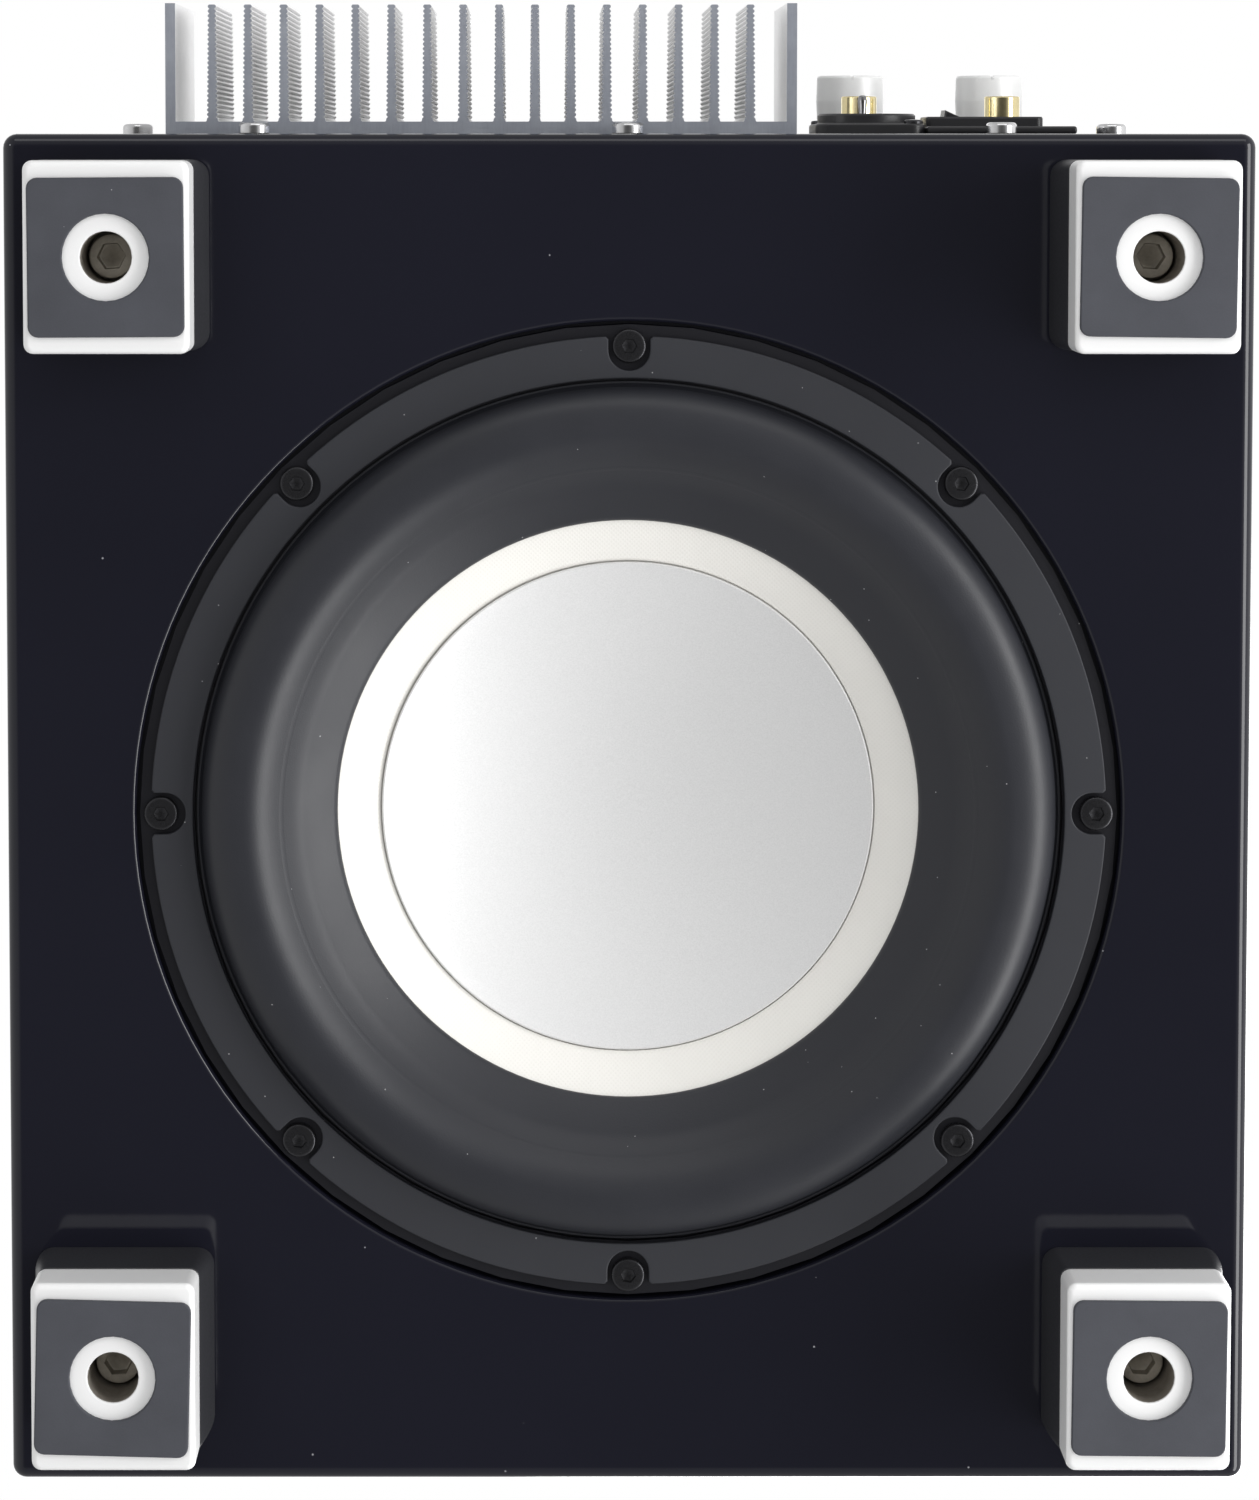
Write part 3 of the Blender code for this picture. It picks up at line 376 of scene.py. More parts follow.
@dataclass(frozen=True)
class Metal(Finish):
    """Bare, plated or cast metal, with streaks along one way and some stains."""

    colour: Colour = (0.6, 0.6, 0.62)
    rough: float = 0.3
    streak: tuple[float, float, float] = (1, 1, 1)
    scale: float = 900
    depth: float = 0.00001
    stain: float = 0.15
    stain_colour: Colour = (0.2, 0.18, 0.15)
    metallic: float = 1.0

    def sockets(self, graph: Graph) -> dict[str, Value]:
        """See Finish.sockets."""
        streaks = graph.noise(self.scale, 4, self.streak, 0.65)
        stains = graph.ramp(graph.noise(180, 4, rough=0.65), (0.42, 0.0), (0.75, 1.0))
        tone = graph.blend(streaks, opaque(self.colour, 0.82), opaque(self.colour, 1.12))
        return {
            "Base Color": graph.blend(stains * self.stain, tone, opaque(self.stain_colour)),
            "Metallic": self.metallic,
            "Roughness": self.rough + (streaks - 0.5) * 0.18 + stains * self.stain * 0.4,
            "Normal": graph.bump(streaks, self.depth, 0.7),
        }


@dataclass(frozen=True)
class Moulding(Finish):
    """Spark-eroded moulded plastic or powder paint: a fine pebble and a soft sheen."""

    colour: Colour = (0.02, 0.02, 0.022)
    rough: float = 0.42
    pebble: float = 0.0005
    depth: float = 0.00002
    fleck: float = 0.1

    def sockets(self, graph: Graph) -> dict[str, Value]:
        """See Finish.sockets."""
        pebble = graph.noise(1 / self.pebble, 3, rough=0.6)
        cloud = graph.noise(40, 3)
        dust = graph.specks(0.006, 0.00012)
        tone = graph.blend(cloud, opaque(self.colour, 0.85), opaque(self.colour, 1.2))
        tone = graph.blend(pebble * self.fleck, tone, opaque(self.colour, 3.0))
        return {
            "Base Color": graph.blend(dust * 0.6, tone, opaque((0.4, 0.4, 0.4))),
            "Roughness": self.rough + (pebble - 0.5) * 0.2 + (cloud - 0.5) * 0.08,
            "Normal": graph.bump(pebble, self.depth, 0.7),
        }


@dataclass(frozen=True)
class Winding(Finish):
    """Wound wire or tape: close turns along one axis."""

    colour: Colour = (0.72, 0.33, 0.16)
    pitch: float = 0.0004
    axis: str = "Z"
    metallic: float = 1.0
    rough: float = 0.3

    def sockets(self, graph: Graph) -> dict[str, Value]:
        """See Finish.sockets."""
        turns = graph.node("ShaderNodeTexWave", {"bands_direction": self.axis},
                           {"Vector": graph.place(), "Scale": BAND_SCALE / self.pitch, "Distortion": 0.6,
                            "Detail": 1.0}, output="Fac")
        cloud = graph.noise(120, 3)
        tone = graph.blend(turns, opaque(self.colour, 0.35), opaque(self.colour, 1.1))
        return {
            "Base Color": graph.blend(cloud * 0.3, tone, opaque(self.colour, 0.7)),
            "Metallic": self.metallic,
            "Roughness": self.rough + cloud * 0.15,
            "Normal": graph.bump(turns, self.pitch * 0.4, 0.8),
        }


@dataclass(frozen=True)
class Cloth(Finish):
    """Resin-dipped open weave of the spider."""

    colour: Colour = (0.55, 0.36, 0.12)
    thread: float = 0.0006

    def sockets(self, graph: Graph) -> dict[str, Value]:
        """See Finish.sockets."""
        warp, weft = (
            graph.node("ShaderNodeTexWave", {"bands_direction": direction},
                       {"Vector": graph.place(), "Scale": BAND_SCALE / self.thread, "Distortion": 0.5},
                       output="Fac")
            for direction in ("X", "Y"))
        weave = graph.maths("MAXIMUM", warp, weft)
        cloud = graph.noise(60, 3)
        tone = graph.blend(weave, opaque(self.colour, 0.35), opaque(self.colour, 1.15))
        return {
            "Base Color": graph.blend(cloud * 0.4, tone, opaque(self.colour, 0.7)),
            "Roughness": 0.62 + cloud * 0.2,
            "Normal": graph.bump(weave, 0.0001, 0.7),
        }


@dataclass(frozen=True)
class CircuitBoard(Finish):
    """Solder resist over copper tracks."""

    resist: Colour = (0.012, 0.11, 0.045)
    track: Colour = (0.03, 0.22, 0.09)

    def sockets(self, graph: Graph) -> dict[str, Value]:
        """See Finish.sockets."""
        cells = graph.node("ShaderNodeTexVoronoi", {"distance": "CHEBYCHEV", "feature": "DISTANCE_TO_EDGE"},
                           {"Vector": graph.place(), "Scale": 260.0})
        tracks = cells < 0.12
        cloud = graph.noise(90, 3)
        tone = graph.blend(tracks, opaque(self.resist), opaque(self.track))
        return {
            "Base Color": graph.blend(cloud * 0.3, tone, opaque(self.resist, 0.7)),
            "Roughness": 0.3 + cloud * 0.15,
            "Normal": graph.bump(tracks, 0.00004, 0.6),
        }


@functools.lru_cache(maxsize=None)
def material_of(finish: Finish) -> bpy.types.Material:
    """Return the material of a finish, made the first time that it is asked for."""
    material = bpy.data.materials.new(f"{finish.slot}_{type(finish).__name__.lower()}")
    material.use_nodes = True
    graph = Graph(material.node_tree)
    graph.principled(finish.sockets(graph))
    return material


LACQUER = Lacquer("cabinet_lacquer")
FRAME_PAINT = Moulding("frame_casting", colour=(0.007, 0.007, 0.010), rough=0.42, pebble=0.0006)
TRIM = Rubber("trim_rubber", colour=(0.021, 0.022, 0.027), rough=0.6, blotch=0.1, grain=0.00002,
              dust=0.00012, dust_pitch=0.0042)
ROLL = Rubber("surround_rubber", colour=(0.019, 0.020, 0.025), rough=0.43, blotch=0.12, grain=0.00004,
              dust=0.00012, dust_pitch=0.0044)
CONE_SKIN = Fibre("cone_fibre", colour=(0.86, 0.845, 0.805))
CAP_METAL = Satin("cap_aluminium", colour=(0.84, 0.84, 0.84), rough=0.5, sparkle=0.2, crater=0.000015,
                  pitch=0.00035, metallic=0.4)
SPIDER_CLOTH = Cloth("spider_cloth")
COIL_WIRE = Winding("coil_copper")
STEEL = Metal("plated_steel", colour=(0.5, 0.5, 0.52), rough=0.32, scale=700, depth=0.00001, stain=0.2)
FERRITE = Moulding("ferrite", colour=(0.035, 0.035, 0.04), rough=0.6, pebble=0.0008, depth=0.00005, fleck=0.2)
BLACK_STEEL = Metal("black_screw", colour=(0.06, 0.06, 0.065), rough=0.25, scale=1500, depth=0.00001,
                    stain=0.3, stain_colour=(0.02, 0.02, 0.02), metallic=0.85)
FOOT_PLASTIC = Moulding("foot_plastic", colour=(0.027, 0.0275, 0.031), rough=0.36, pebble=0.0006,
                        depth=0.00001, fleck=0.06)
FOOT_METAL = Satin("foot_metal", colour=(0.94, 0.94, 0.94), rough=0.36, sparkle=0.04, crater=0.000004,
                   pitch=0.0003, metallic=0.12)
# A darker, browner copy of the foot metal, in the same slot, for the wall of the bore.
BORE_METAL = Metal("foot_metal", colour=(0.34, 0.31, 0.27), rough=0.5, streak=(1, 1, 0.1), scale=900,
                 depth=0.00002, stain=0.4, stain_colour=(0.14, 0.12, 0.10), metallic=0.4)
PAD_RUBBER = Rubber("pad_rubber", colour=(0.060, 0.0625, 0.073), rough=0.75, blotch=0.3, grain=0.00003,
                    dust=0.00012, dust_pitch=0.006, shine=0.3)
BOLT_METAL = Metal("bolt_metal", colour=(0.50, 0.46, 0.39), rough=0.34, scale=1200, depth=0.00003,
                   stain=0.5, stain_colour=(0.13, 0.115, 0.09), metallic=0.35)
PLATE_PAINT = Moulding("plate_paint", colour=(0.016, 0.016, 0.018), rough=0.45, pebble=0.0004,
                       depth=0.00003, fleck=0.12)
# Two copies of the heat sink's aluminium share one slot. The fin sides' near-white is painted light, and the
# ends' darker blue-grey is painted shade. Only the ends' cross streaks and extra roughness stand for their
# sawn face.
SINK_METAL = Metal("sink_aluminium", colour=(0.93, 0.93, 0.94), rough=0.30, streak=(0.15, 4, 4), scale=700,
                   depth=0.00001, stain=0.06, stain_colour=(0.8, 0.8, 0.82), metallic=0.5)
SHADED_SINK_METAL = Metal("sink_aluminium", colour=(0.33, 0.35, 0.40), rough=0.45, streak=(3, 0.3, 1), scale=900,
                   depth=0.00003, stain=0.25, stain_colour=(0.5, 0.52, 0.56), metallic=0.35)
BOARD = CircuitBoard("circuit_board")
TAPE = Winding("transformer_wrap", colour=(0.5, 0.36, 0.05), pitch=0.004, axis="X", metallic=0.0, rough=0.35)
GOLD = Metal("gold_plate", colour=(0.93, 0.79, 0.46), rough=0.12, depth=0.000004, stain=0.06,
             stain_colour=(0.5, 0.32, 0.1))
SOCKET_PLASTIC = Moulding("socket_plastic", colour=(0.018, 0.018, 0.02), rough=0.36, fleck=0.08)
ROCKER_PLASTIC = Moulding("rocker_plastic", rough=0.3, depth=0.00001, fleck=0.05)
TOGGLE_METAL = Metal("toggle_metal", colour=(0.30, 0.30, 0.31), rough=0.16, depth=0.000004, stain=0.08)
NICKEL = Metal("plate_screw_chrome", colour=(0.86, 0.83, 0.74), rough=0.2, depth=0.000004, stain=0.06)
CHROME = Metal("plate_screw_chrome", colour=(0.85, 0.85, 0.86), rough=0.14, depth=0.000004, stain=0.06)
KNOB_METAL = Satin("knob_aluminium", colour=(0.95, 0.955, 0.95), rough=0.38, sparkle=0.04, crater=0.000004,
                   pitch=0.0003, metallic=0.12)
LEAD_JACKET = Rubber("lead_jacket", colour=(0.28, 0.012, 0.012), rough=0.45, blotch=0.1, grain=0.00002,
                     dust=0.0001)


# ---------------------------------------------------------------- outlines

def rounded(corners: Sequence[Point], radius: float | Sequence[float], steps: int = 4,
            closed: bool = True) -> list[Point]:
    """Round the corners of an outline with arcs.

    Args:
        corners: The sharp outline.
        radius: One radius for all corners, or one for each; zero leaves a corner sharp.
        steps: How many pieces each arc has.
        closed: Whether the last corner joins the first.

    Returns:
        The rounded outline.
    """
    places = [Vector(corner) for corner in corners]
    count = len(places)
    radii = [radius] * count if isinstance(radius, (int, float)) else list(radius)
    outline: list[Point] = []
    for index, corner in enumerate(places):
        is_end = not closed and index in (0, count - 1)
        to_last = places[index - 1] - corner
        to_next = places[(index + 1) % count] - corner
        bend = math.pi - to_last.angle(to_next) if to_last.length and to_next.length else 0.0
        if is_end or radii[index] <= 0 or bend < 0.02:
            outline.append(tuple(corner))
            continue
        reach = min(radii[index] * math.tan(bend / 2), 0.49 * min(to_last.length, to_next.length))
        size = reach / math.tan(bend / 2)
        first = corner + to_last.normalized() * reach
        last = corner + to_next.normalized() * reach
        centre = corner + (to_last.normalized() + to_next.normalized()).normalized() * math.hypot(size, reach)
        for step in range(steps + 1):
            share = step / steps
            outline.append(tuple(centre + (first - centre) * (math.sin((1 - share) * bend) / math.sin(bend))
                                 + (last - centre) * (math.sin(share * bend) / math.sin(bend))))
    return outline


def at_height(outline: Iterable[Point], height: float) -> Outline:
    """Lift a flat outline to a height."""
    return [Vector((x, y, height)) for x, y in outline]


def block_outline(wide: float, deep: float, corner: float, corner_steps: int = 5,
                  side_steps: int = 8) -> list[Point]:
    """Return a rectangle with rounded corners and points along its sides, anticlockwise.

    Args:
        wide: Size along X.
        deep: Size along Y.
        corner: Corner radius.
        corner_steps: How many pieces each corner has.
        side_steps: How many pieces each side has.

    Returns:
        The outline.
    """
    outline: list[Point] = []
    for quarter, (sign_x, sign_y) in enumerate(((1, 1), (-1, 1), (-1, -1), (1, -1))):
        centre = Vector((sign_x * (wide / 2 - corner), sign_y * (deep / 2 - corner)))
        for step in range(corner_steps + 1):
            angle = math.pi / 2 * (quarter + step / corner_steps)
            outline.append(tuple(centre + corner * Vector((math.cos(angle), math.sin(angle)))))
        following = ((-1, 1), (-1, -1), (1, -1), (1, 1))[quarter]
        after = Vector((following[0] * (wide / 2 - corner), following[1] * (deep / 2 - corner)))
        angle = math.pi / 2 * (quarter + 1)
        arm = corner * Vector((math.cos(angle), math.sin(angle)))
        for step in range(1, side_steps):
            outline.append(tuple((centre + arm).lerp(after + arm, step / side_steps)))
    return outline


def circle_like(outline: Iterable[Point], radius: float) -> list[Point]:
    """Return a circle whose points lie in the same directions as an outline's."""
    return [tuple(Vector(point).normalized() * radius) for point in outline]


def circle_along(outline: Sequence[Point], radius: float, start: float) -> list[Point]:
    """Return a circle whose points are spaced as an outline's points are along it.

    Args:
        outline: The outline, which may turn back on itself as seen from its centre.
        radius: The circle's radius.
        start: The angle of the first point.

    Returns:
        The circle.
    """
    places = [Vector(point) for point in outline]
    steps = [(after - before).length for before, after in zip(places, places[1:] + places[:1])]
    travelled, total, points = 0.0, sum(steps), []
    for step in steps:
        angle = start + math.tau * travelled / total
        points.append((radius * math.cos(angle), radius * math.sin(angle)))
        travelled += step
    return points


def circle(radius: float, count: int) -> list[Point]:
    """Return a circle of evenly spaced points."""
    return [(radius * math.cos(math.tau * step / count), radius * math.sin(math.tau * step / count))
            for step in range(count)]


def hexagon(across: float, count: int) -> list[Point]:
    """Return a hexagon whose points lie in the same directions as a circle's.

    Args:
        across: Distance across the flats.
        count: How many points, a multiple of six.

    Returns:
        The outline.
    """
    points: list[Point] = []
    for step in range(count):
        angle = math.tau * step / count
        radius = across / 2 / math.cos(angle % (math.pi / 3) - math.pi / 6)
        points.append((radius * math.cos(angle), radius * math.sin(angle)))
    return points


def quarter_turn(steps: int) -> list[tuple[float, float]]:
    """Return one less the sine and one less the cosine of each angle of a quarter turn."""
    angles = [math.pi / 2 * step / steps for step in range(steps + 1)]
    return [(1 - math.sin(angle), 1 - math.cos(angle)) for angle in angles]


# ---------------------------------------------------------------- shapes

class Heading(Enum):
    """Which way the heights of a shape run once it is placed."""

    UP = "up"
    REAR = "rear"

    def matrix(self, place: Sequence[float] = (0, 0, 0)) -> Matrix:
        """Return the matrix that turns a shape this way and moves it to a place."""
        turn = Matrix.Rotation(-math.pi / 2, 4, "X") if self is Heading.REAR else Matrix.Identity(4)
        return Matrix.Translation(place) @ turn


class Shape:
    """A closed shape made with bmesh operators, then published as a piece of the object."""

    def __init__(self) -> None:
        """Start empty."""
        self.bm = bmesh.new()

    def loft(self, outlines: Sequence[Outline], ends: tuple[bool, bool] = (True, True)) -> "Shape":
        """Grow a skin from outline to outline with the extrude operator.

        Args:
            outlines: Outlines with the same number of points each.
            ends: Whether the first and the last outline are closed with a face.

        Returns:
            This shape.
        """
        verts = [self.bm.verts.new(point) for point in outlines[0]]
        edges = [self.bm.edges.new(pair) for pair in zip(verts, verts[1:] + verts[:1])]
        if ends[0]:
            self.bm.faces.new(verts)
        for outline in outlines[1:]:
            grown = bmesh.ops.extrude_edge_only(self.bm, edges=edges)["geom"]
            fresh = {item for item in grown if isinstance(item, bmesh.types.BMVert)}
            verts = [next(edge.other_vert(vert) for edge in vert.link_edges if edge.other_vert(vert) in fresh)
                     for vert in verts]
            for vert, point in zip(verts, outline):
                vert.co = point
            edges = [self.bm.edges.get(pair) for pair in zip(verts, verts[1:] + verts[:1])]
        if ends[1]:
            self.bm.faces.new(verts)
        return self

    def tube(self, outlines: Sequence[Outline]) -> "Shape":
        """Grow a skin that comes back to its first outline, for a piece with a hole through it."""
        return self.loft([*outlines, outlines[0]], (False, False))

    def turn(self, profile: Sequence[Point], steps: int = 48) -> "Shape":
        """Spin a closed (radius, height) outline about Z.

        Args:
            profile: The outline; it may touch the axis.
            steps: How many pieces the round has.

        Returns:
            This shape.
        """
        points = [self.bm.verts.new((radius, 0, height)) for radius, height in profile]
        edges = [self.bm.edges.new(pair) for pair in zip(points, points[1:] + points[:1])
                 if max(pair[0].co.x, pair[1].co.x) > 1e-9]
        bmesh.ops.spin(self.bm, geom=points + edges, cent=(0, 0, 0), axis=(0, 0, 1), dvec=(0, 0, 0),
                       angle=math.tau, steps=steps, use_merge=True)
        return self

    def block(self, low: Sequence[float], high: Sequence[float], edge: float = 0.0,
              segments: int = 3) -> "Shape":
        """Add a box between two corners, with its edges rounded over.

        Args:
            low: Lowest corner.
            high: Highest corner.
            edge: Radius of its edges, or zero.
            segments: How many pieces each rounded edge has.

        Returns:
            This shape.
        """
        low, high = Vector(low), Vector(high)
        matrix = Matrix.Translation((low + high) / 2) @ Matrix.Diagonal((*(high - low), 1))
        made = bmesh.ops.create_cube(self.bm, size=1, matrix=matrix)["verts"]
        if edge:
            edges = list({link for vert in made for link in vert.link_edges})
            bmesh.ops.bevel(self.bm, geom=edges, offset=edge, offset_type="OFFSET", affect="EDGES",
                            segments=segments, profile=0.5, material=-1)
        return self

    def moved(self, matrix: Matrix) -> "Shape":
        """Place the whole shape."""
        bmesh.ops.transform(self.bm, matrix=matrix, verts=self.bm.verts)
        return self

    def at(self, heading: Heading, place: Sequence[float] = (0, 0, 0)) -> "Shape":
        """Turn the whole shape to a heading and move it to a place."""
        return self.moved(heading.matrix(place))

    def joined(self, *others: "Shape") -> "Shape":
        """Take in other shapes, which stay shells of their own."""
        for other in others:
            mesh = other.mesh("joined")
            self.bm.from_mesh(mesh)
            bpy.data.meshes.remove(mesh)
        return self

    def copy(self) -> "Shape":
        """Return a shape of its own with the same form."""
        twin = Shape()
        twin.bm = self.bm.copy()
        return twin

    def mesh(self, name: str) -> bpy.types.Mesh:
        """Merge doubles, turn the faces outwards and return a smooth-shaded mesh."""
        bmesh.ops.remove_doubles(self.bm, verts=self.bm.verts, dist=1e-7)
        bmesh.ops.recalc_face_normals(self.bm, faces=self.bm.faces)
        mesh = bpy.data.meshes.new(name)
        self.bm.to_mesh(mesh)
        self.bm.free()
        mesh.shade_smooth()
        mesh.set_sharp_from_angle(angle=math.radians(38))
        return mesh

    def minus(self, *cutters: "Shape") -> "Shape":
        """Cut other shapes out of this one.

        Args:
            cutters: Closed shapes, which are used up.

        Returns:
            A new shape.
        """
        target = bpy.data.objects.new("target", self.mesh("target"))
        spent = [target]
        bpy.context.scene.collection.objects.link(target)
        for cutter in cutters:
            tool = bpy.data.objects.new("tool", cutter.mesh("tool"))
            bpy.context.scene.collection.objects.link(tool)
            spent.append(tool)
            modifier = target.modifiers.new("cut", "BOOLEAN")
            modifier.operation = "DIFFERENCE"
            modifier.solver = "EXACT"
            modifier.object = tool
        bpy.context.view_layer.update()
        cut = target.evaluated_get(bpy.context.evaluated_depsgraph_get()).to_mesh()
        result = Shape()
        result.bm.from_mesh(cut)
        for used in spent:
            mesh = used.data
            bpy.data.objects.remove(used, do_unlink=True)
            bpy.data.meshes.remove(mesh)
        return result

    def publish(self, name: str, finish: Finish, body: str = "cabinet", stands_for: Sequence[str] = (),
                is_blended: bool = False) -> bpy.types.Object:
        """Make the shape a piece of the object.

        Args:
            name: The piece's name.
            finish: What it is made of.
            body: The body that it moves with.
            stands_for: CAD nodes that it replaces.
            is_blended: Whether it is left off every body and without even shading.

        Returns:
            The piece.
        """
        piece = bpy.data.objects.new(name, self.mesh(name))
        bpy.context.scene.collection.objects.link(piece)
        piece.data.materials.append(material_of(finish))
        if not is_blended:
            even = piece.modifiers.new("even_shading", "WEIGHTED_NORMAL")
            even.keep_sharp = True
            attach(piece, body)
        if stands_for:
            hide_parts(*stands_for)
        LOG.info("%s: %d faces of %s, on %s", name, len(piece.data.polygons), finish.slot, body)
        return piece


def hexagon_nut(across: float, crown: float, bore: float, heights: tuple[float, float, float]) -> Shape:
    """Return a nut whose corners slope up to a round crown.

    Args:
        across: Distance across its flats.
        crown: Radius of the crown.
        bore: Radius of its hole.
        heights: The foot, the top of the flats and the crown.

    Returns:
        The nut, along Z.
    """
    count = 36
    foot, flats, top = heights
    return Shape().tube([at_height(hexagon(across, count), foot), at_height(hexagon(across, count), flats),
                         at_height(circle(crown, count), top), at_height(circle(bore, count), top),
                         at_height(circle(bore, count), foot)])


def paint(piece: bpy.types.Object, finish: Finish, where: Callable[[Vector, Vector], bool]) -> None:
    """Give some faces of a piece a second finish.

    Args:
        piece: The piece.
        finish: What those faces are made of.
        where: Tells from a face's centre and normal whether it is one of them.
    """
    piece.data.materials.append(material_of(finish))
    for face in piece.data.polygons:
        if where(face.center, face.normal):
            face.material_index = len(piece.data.materials) - 1


def dress(finish: Finish, *nodes: str) -> None:
    """Give CAD nodes that stay visible a finish.

    Args:
        finish: What they are made of.
        nodes: Their names.
    """
    for name in nodes:
        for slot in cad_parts[name].material_slots:
            slot.material = material_of(finish)
        LOG.info("%s: frame node in %s", name, finish.slot)


def bend_by_radius(piece: bpy.types.Object) -> None:
    """Bake a round flexible piece's placement into its mesh.

    Args:
        piece: The piece.
    """
    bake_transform(piece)


# ---------------------------------------------------------------- cabinet

@dataclass
class Cabinet:
    """Six panels under one lacquer, so they show as one seamless shell."""

    edge: float = 0.003
    wall: float = 0.018
    rebate_radius: float = 0.1057
    rebate_depth: float = 0.006
    cutout_radius: float = 0.096
    lip: float = 0.0011
    plate_gap: float = 0.0004
    plate_rim: float = 0.011

    def __post_init__(self) -> None:
        """Read the outer corners and the driver's axis from the frame."""
        self.low, self.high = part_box("front_panel")[0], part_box("rear_panel")[1]
        ring_low, ring_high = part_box("trim_ring")
        self.axis = (ring_low + ring_high) / 2

    def driver_cutter(self) -> Shape:
        """Return the rebated round opening, whose mouth is rounded over."""
        base, floor = self.low.z, self.low.z + self.rebate_depth
        out, clear = 0.002, self.rebate_radius + 0.004
        profile = rounded(
            [(0, base - out), (clear, base - out), (clear, base), (self.rebate_radius, base),
             (self.rebate_radius, floor), (self.cutout_radius, floor),
             (self.cutout_radius, base + self.wall + out), (0, base + self.wall + out)],
            (0, 0, 0, self.lip, 0, self.lip / 2, 0, 0), 5)
        profile = [(radius, height - 0.00001 if radius > self.rebate_radius + self.lip else height)
                   for radius, height in profile]
        return Shape().turn(profile, 144).at(Heading.UP, (self.axis.x, self.axis.y, 0))

    def plate_cutters(self) -> list[Shape]:
        """Return the rebate for the amplifier plate and the opening behind it."""
        low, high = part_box("amp_plate")
        gap, rim, reach = self.plate_gap, self.plate_rim, self.high.y + 0.01
        rebate = Shape().block((low.x - gap, low.y - gap, low.z - gap), (high.x + gap, reach, high.z + gap))
        opening = Shape().block((low.x + rim, self.high.y - self.wall - 0.01, low.z + rim),
                                (high.x - rim, reach, high.z - rim))
        return [rebate, opening]

    def build(self) -> None:
        """Make the shell."""
        inset = Vector((self.wall,) * 3)
        cavity = Shape().block(self.low + inset, self.high - inset)
        shell = Shape().block(self.low, self.high, self.edge, 6)
        shell.minus(cavity, self.driver_cutter(), *self.plate_cutters()).publish(
            "cabinet_shell", LACQUER,
            stands_for=("front_panel", "rear_panel", "left_panel", "right_panel", "top_panel",
                        "bottom_baffle"))


# ---------------------------------------------------------------- driver

